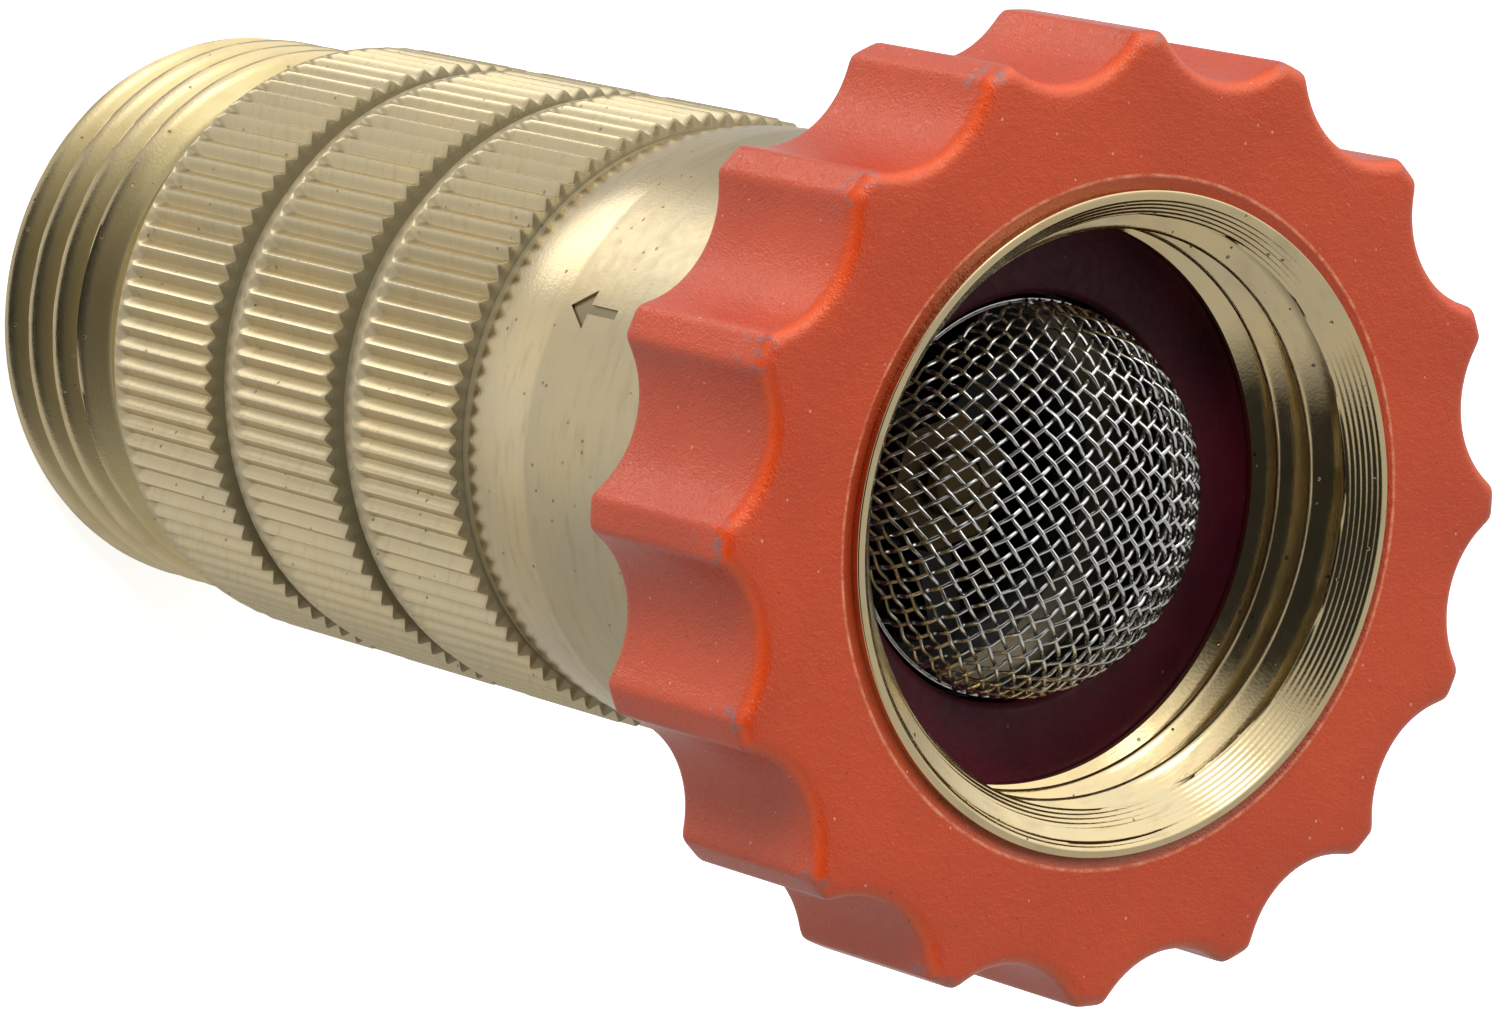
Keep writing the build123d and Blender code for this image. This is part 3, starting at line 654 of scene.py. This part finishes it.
# ---- spring -------------------------------------------------------------------------
def main_spring():
    """Coil with closed, ground ends, as long as the CAD spring."""
    low = level("main_spring", False)
    high = level("main_spring", True)
    turns = np.linspace(0, SPRING_TURNS, int(SPRING_TURNS * 48) + 1)
    share = turns / SPRING_TURNS
    eased = share - 0.09 * np.sin(2 * math.pi * share)
    inset = SPRING_WIRE_R * 0.55
    heights = low + inset + (high - low - 2 * inset) * eased
    around = turns * 2 * math.pi
    path = np.stack([SPRING_R * np.cos(around), SPRING_R * np.sin(around), heights], axis=1)
    rings = tube(path, SPRING_WIRE_R, sides=12)
    for points in rings:
        points[:, 2] = np.clip(points[:, 2], low, high)
    return join_shells("spring_coil", [(rings, True)])


# ---- material helpers ---------------------------------------------------------------
class Nodes:
    """Short calls for building the node tree of one material or world."""

    def __init__(self, owner):
        owner.use_nodes = True
        self.tree = owner.node_tree
        self.shader = self.tree.nodes.get("Principled BSDF")

    def add(self, kind, **settings):
        node = self.tree.nodes.new(kind)
        for key, value in settings.items():
            setattr(node, key, value)
        return node

    def feed(self, socket, value):
        if isinstance(value, bpy.types.NodeSocket):
            self.tree.links.new(value, socket)
        else:
            socket.default_value = value

    def place(self):
        """Object coordinates in millimetres."""
        scale = self.add("ShaderNodeVectorMath", operation="SCALE")
        self.feed(scale.inputs[0], self.add("ShaderNodeTexCoord").outputs["Object"])
        scale.inputs["Scale"].default_value = 1 / MM
        return scale.outputs[0]

    def stretch(self, vector, factors):
        node = self.add("ShaderNodeVectorMath", operation="MULTIPLY")
        self.feed(node.inputs[0], vector)
        node.inputs[1].default_value = factors
        return node.outputs[0]

    def noise(self, vector, scale, detail=2.0, roughness=0.5):
        node = self.add("ShaderNodeTexNoise")
        self.feed(node.inputs["Vector"], vector)
        node.inputs["Scale"].default_value = scale
        node.inputs["Detail"].default_value = detail
        node.inputs["Roughness"].default_value = roughness
        return node.outputs["Fac"]

    def spots(self, vector, scale, size):
        """One in each Voronoi dot, falling to zero at its rim."""
        node = self.add("ShaderNodeTexVoronoi")
        self.feed(node.inputs["Vector"], vector)
        node.inputs["Scale"].default_value = scale
        return self.span(node.outputs["Distance"], size, size - 0.03)

    def span(self, value, low, high, out_low=0.0, out_high=1.0):
        """Maps low..high to out_low..out_high and stops at both ends."""
        node = self.add("ShaderNodeMapRange")
        node.clamp = True
        self.feed(node.inputs["Value"], value)
        node.inputs["From Min"].default_value = low
        node.inputs["From Max"].default_value = high
        node.inputs["To Min"].default_value = out_low
        node.inputs["To Max"].default_value = out_high
        return node.outputs["Result"]

    def math(self, operation, a, b=0.0):
        node = self.add("ShaderNodeMath", operation=operation)
        self.feed(node.inputs[0], a)
        self.feed(node.inputs[1], b)
        return node.outputs[0]

    def mix(self, share, a, b):
        node = self.add("ShaderNodeMix", data_type="RGBA")
        self.feed(node.inputs["Factor"], share)
        self.feed(node.inputs["A"], a)
        self.feed(node.inputs["B"], b)
        return node.outputs["Result"]

    def blend(self, share, a, b):
        node = self.add("ShaderNodeMix", data_type="FLOAT")
        self.feed(node.inputs["Factor"], share)
        self.feed(node.inputs["A"], a)
        self.feed(node.inputs["B"], b)
        return node.outputs["Result"]

    def both(self, a, b):
        """One where two masks are both one."""
        return self.math("MULTIPLY", a, b)

    def tint(self, colour, mask, share, other):
        """Mixes a share of another colour in where the mask is one."""
        return self.mix(self.math("MULTIPLY", mask, share), colour, other)

    def specks(self, place, scale, size, patch_scale, low, high):
        """Spots that show only where a wider noise rises from low to high."""
        patches = self.span(self.noise(place, patch_scale), low, high)
        return self.both(self.spots(place, scale, size), patches)

    def within(self, value, low, high, soft=0.05):
        """One between low and high, with soft edges."""
        above = self.span(value, low - soft, low + soft)
        below = self.span(value, high - soft, high + soft, 1.0, 0.0)
        return self.both(above, below)

    def axis_radius(self, vector):
        """Distance from the Z axis."""
        flat = self.stretch(vector, (1, 1, 0))
        node = self.add("ShaderNodeVectorMath", operation="LENGTH")
        self.feed(node.inputs[0], flat)
        return node.outputs["Value"]

    def height(self, vector):
        node = self.add("ShaderNodeSeparateXYZ")
        self.feed(node.inputs[0], vector)
        return node.outputs["Z"]

    def combine(self, x, y, z):
        node = self.add("ShaderNodeCombineXYZ")
        for socket, value in zip(node.inputs, (x, y, z)):
            self.feed(socket, value)
        return node.outputs[0]

    def bump(self, height, distance, below=None):
        """A normal from a height field; distance is its depth in millimetres."""
        node = self.add("ShaderNodeBump")
        node.inputs["Distance"].default_value = distance * MM
        self.feed(node.inputs["Height"], height)
        if below is not None:
            self.feed(node.inputs["Normal"], below)
        return node.outputs["Normal"]

    def set(self, **values):
        for key, value in values.items():
            self.feed(self.shader.inputs[key.replace("_", " ")], value)


def rgb(red, green, blue):
    """A linear colour from sRGB values of 0 to 255."""
    def linear(value):
        value /= 255
        return value / 12.92 if value <= 0.04045 else ((value + 0.055) / 1.055) ** 2.4
    return (linear(red), linear(green), linear(blue), 1.0)


# ---- materials ----------------------------------------------------------------------
SHADE_BRASS = rgb(74, 62, 44)
MATT_BRASS = rgb(200, 190, 158)
DULL_BRASS = rgb(170, 160, 134)
STREAKED_BRASS = rgb(146, 122, 76)
FLANK_BRASS = rgb(196, 182, 124)
VALLEY_SHADE_BRASS = rgb(130, 120, 92)
GROOVE_SHADE_BRASS = rgb(160, 152, 126)
TOOTH_SHADE_BRASS = rgb(132, 124, 96)
PIT_TONE = rgb(58, 44, 28)
ROOT_SHADE = rgb(62, 54, 40)
ORANGE = rgb(197, 58, 14)
DEEPER_ORANGE = rgb(187, 51, 10)
PAINTED_GLOW_ORANGE = rgb(232, 84, 30)
SHADED_ORANGE = rgb(140, 44, 32)
LIP_HIGHLIGHT_ORANGE = rgb(228, 142, 106)
SCUFF_TONE = rgb(128, 96, 102)
DUST_TONE = rgb(236, 170, 150)
DIRT_TONE = rgb(84, 36, 34)
MAROON = rgb(84, 20, 36)
DEEPER_MAROON = rgb(66, 14, 28)
LINT_TONE = rgb(170, 130, 140)
PALE_STEEL = rgb(196, 194, 188)
INNER_R = 10.7               # inlet body surfaces inside this radius and above
INNER_START = 48.0           # this height are the bore behind the washer
CONE_END = 1.9               # depth below the rim where the lead-in cone is over


def new_material(name):
    material = bpy.data.materials.new(name)
    return material, Nodes(material)


def brass_layers(m, place, warm, pale, roughness):
    """Colour, roughness and pits: what every piece of brass has in common."""
    clouds = m.noise(place, 0.22, 3.0)
    colour = m.mix(m.span(clouds, 0.35, 0.68), warm, pale)
    streaks = m.noise(m.stretch(place, (0.6, 0.6, 2.5)), 0.9, 4.0)
    colour = m.mix(m.span(streaks, 0.52, 0.8, 0.0, 0.3), colour, STREAKED_BRASS)
    pits = m.specks(place, 1.1, 0.1, 0.5, 0.46, 0.54)
    colour = m.tint(colour, pits, 0.6, PIT_TONE)
    shine = m.noise(place, 1.6, 4.0)
    return colour, m.span(shine, 0.3, 0.75, roughness - 0.03, roughness + 0.05), pits


def finish_brass(m, place, colour, shine, pits, lines, grain, below=None):
    """Joins up the brass, with circular tool lines, a fine grain and dents."""
    turned_at = m.combine(m.axis_radius(place), m.height(place), 0.0)
    m.set(Base_Color=colour, Roughness=shine, Metallic=1.0)
    normal = m.bump(m.noise(turned_at, 9.0, 3.0, 0.7), lines, below=below)
    normal = m.bump(m.noise(place, 7.0, 3.0), grain, below=normal)
    m.set(Normal=m.bump(m.math("MULTIPLY", pits, -1.0), 0.04, below=normal))


def rib_finish(m, colour, shine, radius, height):
    """Matt bands, with painted shade darkening the ribs' valleys, and polished on their crests.
    """
    ribbed = m.within(height, FIRST_BAND, OUTLET_TOP)
    band = m.both(ribbed, m.span(radius, BAND_EDGE_R - 0.25, BAND_EDGE_R - 0.1))
    shine = m.blend(band, shine, 0.34)
    colour = m.tint(colour, band, 0.3, MATT_BRASS)
    # painted shade: the ribs' valleys are darkened a little
    valley = m.both(band, m.span(radius, BAND_EDGE_R + 0.12, RIB_VALLEY_R, 0.0, 0.12))
    colour = m.mix(valley, colour, VALLEY_SHADE_BRASS)
    crest = m.both(ribbed, m.span(radius, RIB_CREST_R - 0.06, RIB_CREST_R - 0.02))
    return colour, m.blend(crest, shine, 0.2)


def groove_shade(m, colour, shine, radius, height):
    """Painted shade in the grooves and on the rib ends; the third result is one where that shade
    is painted.
    """
    grooved = m.within(height, FIRST_BAND + 0.5, OUTLET_TOP + 2.2, 0.4)
    # painted shade: the grooves and the start of the collar are darkened and greyed
    shade_in_grooves = m.both(grooved, m.within(radius, GROOVE_R - 0.3, GROOVE_R + 0.42, 0.08))
    colour = m.tint(colour, shade_in_grooves, 0.7, GROOVE_SHADE_BRASS)
    shine = m.blend(shade_in_grooves, shine, 0.5)
    tooth_face_shade = 0.0
    for index in range(BANDS):
        end = OUTLET_TOP - index * BAND_PITCH
        at_end = m.within(height, end - 0.02, end + 0.02, 0.02)
        tooth_face_shade = m.math("MAXIMUM", tooth_face_shade, at_end)
    # painted shade on the ribs' end faces
    colour = m.tint(colour, tooth_face_shade, 0.8, TOOTH_SHADE_BRASS)
    return colour, shine, m.math("MAXIMUM", shade_in_grooves, tooth_face_shade)


def thread_and_shaded_bore(m, colour, shine, radius, height):
    """Yellower, duller flanks on the male thread, and painted shade darkening the bore behind the
    washer.
    """
    on_thread = m.span(height, MALE_END + 0.4, MALE_END + 0.8, 1.0, 0.0)
    flank = m.both(on_thread, m.span(radius, MALE_CREST_R - 0.12, MALE_CREST_R - 0.5))
    colour = m.tint(colour, flank, 0.45, FLANK_BRASS)
    shine = m.blend(flank, shine, 0.42)
    inside = m.span(radius, INNER_R, INNER_R - 0.2)
    # painted shade: the bore behind the washer is darkened
    bore = m.both(inside, m.span(height, INNER_START, INNER_START + 1.0))
    return m.tint(colour, bore, 0.9, SHADE_BRASS), shine


def barrel_finish(m, colour, shine, radius, height):
    """A duller barrel with a flow arrow engraved in it, darkened with painted shade."""
    barrel = m.span(height, COLLAR_END - 0.2, COLLAR_END + 0.2)
    shine = m.math("ADD", shine, m.math("MULTIPLY", barrel, 0.12))
    # painted shade in the engraved flow arrow
    engraved = m.both(barrel, m.within(radius, BARREL_R - 0.2, BARREL_R - 0.08, 0.02))
    colour = m.tint(colour, engraved, 0.7, SHADE_BRASS)
    return m.tint(colour, barrel, 0.35, DULL_BRASS), shine


def body_brass():
    """Outer brass of both bodies: thread, ribbed bands, bright collar and plain barrel."""
    material, m = new_material("brass_body")
    place = m.place()
    at = (m.axis_radius(place), m.height(place))
    colour, shine, pits = brass_layers(m, place, rgb(224, 204, 160), rgb(214, 199, 164), 0.2)
    colour, shine = rib_finish(m, colour, shine, *at)
    colour, shine, dull = groove_shade(m, colour, shine, *at)
    colour, shine = thread_and_shaded_bore(m, colour, shine, *at)
    colour, shine = barrel_finish(m, colour, shine, *at)
    finish_brass(m, place, colour, shine, pits, 0.004, 0.008)
    # less metallic where shade is painted, so those spots don't mirror the room
    m.set(Metallic=m.span(dull, 0.0, 1.0, 1.0, 0.45))
    return material


def nut_brass():
    """Nut brass: fine turning lines on the lead-in cone and painted shade in the thread roots."""
    material, m = new_material("brass_nut")
    place = m.place()
    radius = m.axis_radius(place)
    height = m.height(place)
    colour, shine, pits = brass_layers(m, place, rgb(224, 202, 154), rgb(212, 196, 158), 0.12)
    below_cone = m.span(height, RIM_TOP - CONE_END, RIM_TOP - CONE_END + 0.5, 1.0, 0.0)
    # painted shade: the thread roots below the cone are darkened
    root = m.span(radius, FEMALE_ROOT_R - 0.55, FEMALE_ROOT_R - 0.1, 0.0, 0.8)
    colour = m.mix(m.both(below_cone, root), colour, ROOT_SHADE)
    cone_here = m.math("SUBTRACT", radius, height)
    off_cone = m.math("ABSOLUTE", m.math("SUBTRACT", cone_here, MOUTH_R - RIM_TOP))
    on_cone = m.span(off_cone, 0.03, 0.07, 1.0, 0.0)
    wave = m.math("SINE", m.math("MULTIPLY", radius, 2 * math.pi / TOOL_MARK_PITCH))
    marks = m.bump(m.both(on_cone, wave), 0.006)
    finish_brass(m, place, colour, shine, pits, 0.004, 0.004, below=marks)
    return material


def plain_brass(name, warm, pale, roughness):
    material, m = new_material(name)
    place = m.place()
    finish_brass(m, place, *brass_layers(m, place, warm, pale, roughness), 0.006, 0.006)
    return material


def lip_shade_and_highlight(m, tone, place, radius, height):
    """Painted shade on the step round the rim, and a pale, nicked line of painted highlight along
    the step's outer corner.
    """
    # painted shade on the step round the rim
    inside_lip = m.span(radius, LIP_R + 0.02, LIP_R - 0.06)
    tone = m.tint(tone, inside_lip, 0.3, SHADED_ORANGE)
    nicks = m.span(m.noise(place, 1.4, 4.0, 0.7), 0.4, 0.6, 0.15, 0.9)
    front = m.span(height, GRIP_FRONT - 0.35, GRIP_FRONT - 0.2)
    # painted highlight: a pale line along the step's outer corner, broken up by nicks
    lip = m.both(m.within(radius, LIP_R - 0.05, LIP_R + 0.09, 0.04), front)
    return m.mix(m.both(lip, nicks), tone, LIP_HIGHLIGHT_ORANGE)


def orange_plastic():
    """Moulded orange plastic: a painted glow along the rounded edges, grainy gloss, scuffed
    corners, dust and dirt.
    """
    material, m = new_material("grip_orange")
    place = m.place()
    radius = m.axis_radius(place)
    height = m.height(place)
    tone = m.mix(m.span(m.noise(place, 0.15, 2.0), 0.35, 0.65), ORANGE, DEEPER_ORANGE)
    # painted glow: the rounded edges are coloured a brighter orange
    glow_edge = m.add("ShaderNodeAttribute", attribute_name="glow_edge").outputs["Fac"]
    tone = m.tint(tone, glow_edge, 0.6, PAINTED_GLOW_ORANGE)
    tone = lip_shade_and_highlight(m, tone, place, radius, height)
    scuff_noise = m.noise(place, 1.6, 5.0, 0.72)
    near_front = m.span(height, GRIP_FRONT - 2.4, GRIP_FRONT - 1.0)
    corner = m.both(m.span(radius, TIP_R - 0.688, TIP_R - 0.238), near_front)
    scuff = m.both(corner, m.span(scuff_noise, 0.5, 0.62))
    tone = m.tint(tone, scuff, 0.75, SCUFF_TONE)
    dust = m.specks(place, 1.0, 0.09, 0.7, 0.44, 0.52)
    tone = m.tint(tone, dust, 0.5, DUST_TONE)
    dirt = m.specks(place, 1.04, 0.08, 0.9, 0.48, 0.56)
    tone = m.tint(tone, dirt, 0.65, DIRT_TONE)
    m.set(Base_Color=tone)
    m.set(Roughness=m.span(m.noise(place, 3.0, 4.0), 0.3, 0.7, 0.13, 0.22))
    m.shader.subsurface_method = "RANDOM_WALK"
    m.set(Subsurface_Weight=0.12, Subsurface_Radius=(1.0, 0.25, 0.08))
    m.set(Subsurface_Scale=0.9 * MM)
    m.set(IOR=1.5, Specular_IOR_Level=0.9, Specular_Tint=(1.0, 0.96, 0.7, 1.0))
    grain = m.bump(m.noise(place, 2.4, 2.0, 0.6), 0.02)
    on_sides = m.span(height, GRIP_FRONT - 0.6, GRIP_FRONT - 0.2, 1.0, 0.7)
    grain = m.bump(m.both(m.noise(place, 9.0, 1.0, 0.5), on_sides), 0.045, below=grain)
    raised = m.math("SUBTRACT", m.span(scuff_noise, 0.4, 0.8), dust)
    m.set(Normal=m.bump(raised, 0.03, below=grain))
    return material


def washer_rubber():
    """Dark maroon rubber, dull, with a little lint."""
    material, m = new_material("washer_maroon")
    place = m.place()
    tone = m.mix(m.span(m.noise(place, 0.3, 3.0), 0.35, 0.7), MAROON, DEEPER_MAROON)
    lint = m.specks(place, 0.8, 0.06, 0.8, 0.54, 0.6)
    m.set(Base_Color=m.tint(tone, lint, 0.6, LINT_TONE), Specular_IOR_Level=0.3)
    m.set(Roughness=m.span(m.noise(place, 2.0, 3.0), 0.3, 0.7, 0.42, 0.6))
    m.set(Normal=m.bump(m.noise(place, 3.0, 3.0), 0.03))
    return material


def plain_rubber():
    material, m = new_material("seal_black")
    place = m.place()
    m.set(Base_Color=m.mix(m.noise(place, 0.8, 2.0), rgb(30, 30, 32), rgb(44, 44, 46)))
    m.set(Roughness=m.span(m.noise(place, 3.0), 0.3, 0.7, 0.4, 0.6))
    m.set(Normal=m.bump(m.noise(place, 6.0), 0.01))
    return material


def steel(name, tone, roughness):
    material, m = new_material(name)
    place = m.place()
    m.set(Base_Color=m.mix(m.noise(place, 0.7, 3.0), tone, PALE_STEEL), Metallic=1.0)
    cloudy = m.noise(place, 2.5, 3.0)
    m.set(Roughness=m.span(cloudy, 0.3, 0.7, roughness - 0.05, roughness + 0.08))
    lines = m.combine(m.axis_radius(place), m.height(place), 0.0)
    m.set(Normal=m.bump(m.noise(lines, 10.0, 2.0), 0.004))
    return material


def moulded(name, tone, other, roughness):
    material, m = new_material(name)
    place = m.place()
    m.set(Base_Color=m.mix(m.noise(place, 0.5, 2.0), tone, other))
    cloudy = m.noise(place, 3.0)
    m.set(Roughness=m.span(cloudy, 0.3, 0.7, roughness - 0.05, roughness + 0.08))
    m.set(Normal=m.bump(m.noise(place, 5.0, 2.0), 0.01))
    return material


# ---- stage --------------------------------------------------------------------------
CAMERA_PLACE = (3.220, -221.346, 336.289)
CAMERA_TILT = 37.262
CAMERA_ROLL = 104.398
LENS = 196.63
CENTRE = Vector((0, 0, 40)) * MM
FILL_PLACE = (-0.45, -0.55, 0.42)    # metres
FILL_SIZE = 0.3
FILL_POWER = 4.2
FLOOR_HALF = 2.5
ROOM_LEVEL = 0.57
ROOM_TONE = (1.0, 0.985, 0.96, 1.0)
LIGHT_PATCHES = (
    # towards, inner angle, outer angle, strength
    ((-0.85, 0.20, 0.45), 30, 52, 0.79),     # big soft light beyond -X
    ((0.12, -0.47, 0.87), 31, 44, -0.54),    # dark gap behind the camera
    ((-0.52, -0.30, -0.80), 7, 16, 1.8),     # highlight along the barrel
    ((0.02, -0.60, -0.80), 6, 30, 0.26),     # light thrown up by the table
    ((0.62, 0.10, -0.78), 15, 48, -0.11),    # shade below +X
    ((-0.75, -0.10, 0.65), 5, 9, 5.0),       # small bright lamp
)


def camera():
    """The camera, placed so that the part fills the frame as it does in the photo."""
    data = bpy.data.cameras.new("camera")
    data.lens = LENS
    data.sensor_width = 36
    data.clip_start = 0.01
    seat = bpy.data.objects.new("camera", data)
    turn = Matrix.Rotation(math.radians(CAMERA_TILT), 4, "X")
    roll = Matrix.Rotation(math.radians(CAMERA_ROLL), 4, "Z")
    seat.matrix_world = Matrix.Translation(Vector(CAMERA_PLACE) * MM) @ turn @ roll
    bpy.context.scene.collection.objects.link(seat)
    bpy.context.scene.camera = seat


def lobe(m, direction, toward, inner, outer, strength):
    """A soft round patch of studio light; inner and outer are its angles in degrees."""
    node = m.add("ShaderNodeVectorMath", operation="DOT_PRODUCT")
    m.feed(node.inputs[0], direction)
    node.inputs[1].default_value = Vector(toward).normalized()
    low = math.cos(math.radians(outer))
    high = math.cos(math.radians(inner))
    return m.span(node.outputs["Value"], low, high, 0.0, strength)


def studio():
    """A grey room with the light and dark patches that the brass mirrors."""
    world = bpy.data.worlds.new("studio")
    m = Nodes(world)
    direction = m.add("ShaderNodeTexCoord").outputs["Generated"]
    strength = ROOM_LEVEL
    for patch in LIGHT_PATCHES:
        strength = m.math("ADD", strength, lobe(m, direction, *patch))
    background = m.tree.nodes["Background"]
    m.feed(background.inputs["Strength"], strength)
    m.feed(background.inputs["Color"], ROOM_TONE)
    bpy.context.scene.world = world
    bpy.context.scene.view_settings.view_transform = "Standard"


def fill():
    """An area light that only lights; the brass doesn't mirror it."""
    data = bpy.data.lights.new("fill", "AREA")
    data.size = FILL_SIZE
    data.energy = FILL_POWER
    lamp = bpy.data.objects.new("fill", data)
    lamp.location = FILL_PLACE
    lamp.rotation_euler = (CENTRE - Vector(FILL_PLACE)).to_track_quat("-Z", "Y").to_euler()
    lamp.visible_glossy = False
    bpy.context.scene.collection.objects.link(lamp)


def floor():
    """A pale floor for the camera alone: the part is lit by the room on every side."""
    material, m = new_material("floor_white")
    place = m.place()
    m.set(Base_Color=m.mix(m.noise(place, 0.01), rgb(248, 248, 248), rgb(251, 251, 251)))
    m.set(Roughness=0.9, Emission_Color=(1, 1, 1, 1), Emission_Strength=0.7)
    m.set(Specular_IOR_Level=0.1)
    mesh = bpy.data.meshes.new("floor")
    sides = [(-1, -1), (1, -1), (1, 1), (-1, 1)]
    corners = [(x * FLOOR_HALF, y * FLOOR_HALF, 0) for x, y in sides]
    mesh.from_pydata(corners, [], [(0, 1, 2, 3)])
    mesh.materials.append(material)
    piece = bpy.data.objects.new("floor", mesh)
    bpy.context.scene.collection.objects.link(piece)
    piece.visible_glossy = False
    piece.visible_diffuse = False
    piece.visible_shadow = False


# ---- assembly -----------------------------------------------------------------------
def show(piece, material, body, slot, *nodes):
    """Puts a modelled piece on its body, in place of the CAD nodes."""
    piece.data.materials.clear()
    piece.data.materials.append(material)
    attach(piece, body)
    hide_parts(*nodes)


def dress(material, *nodes):
    """A new material on CAD nodes that stay in view."""
    for node in nodes:
        NODES[node].material_slots[0].material = material


outer_brass = body_brass()
# painted shade: the inner brass parts behind the strainer get dark brass to stand for the shade
# they sit in
shaded_inner_brass = plain_brass("brass_inner", SHADE_BRASS, rgb(96, 80, 54), 0.4)
stainless = steel("stainless", rgb(180, 180, 178), 0.28)
wire_steel = steel("wire_steel", rgb(236, 240, 244), 0.18)
black_acetal = moulded("acetal_black", rgb(22, 24, 26), rgb(32, 34, 36), 0.38)
white_ptfe = moulded("ptfe_white", rgb(232, 230, 224), rgb(222, 220, 214), 0.5)
seal_rubber = plain_rubber()

show(outlet_body(), outer_brass, "housing", "brass_body", "outlet_body")
show(nut_insert(), nut_brass(), "swivel_nut", "brass_nut", "nut_insert")
show(nut_grip(), orange_plastic(), "swivel_nut", "orange_plastic", "nut_grip")
show(inlet_washer(), washer_rubber(), "swivel_nut", "maroon_rubber", "inlet_washer")
show(inlet_screen(), wire_steel, "swivel_nut", "screen_steel", "inlet_screen")

spring = main_spring()
show(spring, wire_steel, "housing", "spring_steel", "main_spring")
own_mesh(spring)

dress(outer_brass, "inlet_body")
dress(shaded_inner_brass, "piston_head", "seat_holder", "seat_nut", "spring_seat_washer")
dress(stainless, "piston_stem", "preload_shim")
dress(wire_steel, "spider_clip", "nut_retaining_ring")
dress(black_acetal, "seat_spider", "gland_retainer")
dress(white_ptfe, "piston_guide_ring")
dress(seal_rubber, "body_o_ring", "stem_o_ring", "piston_o_ring", "seat_disc")

floor()
studio()
fill()
camera()
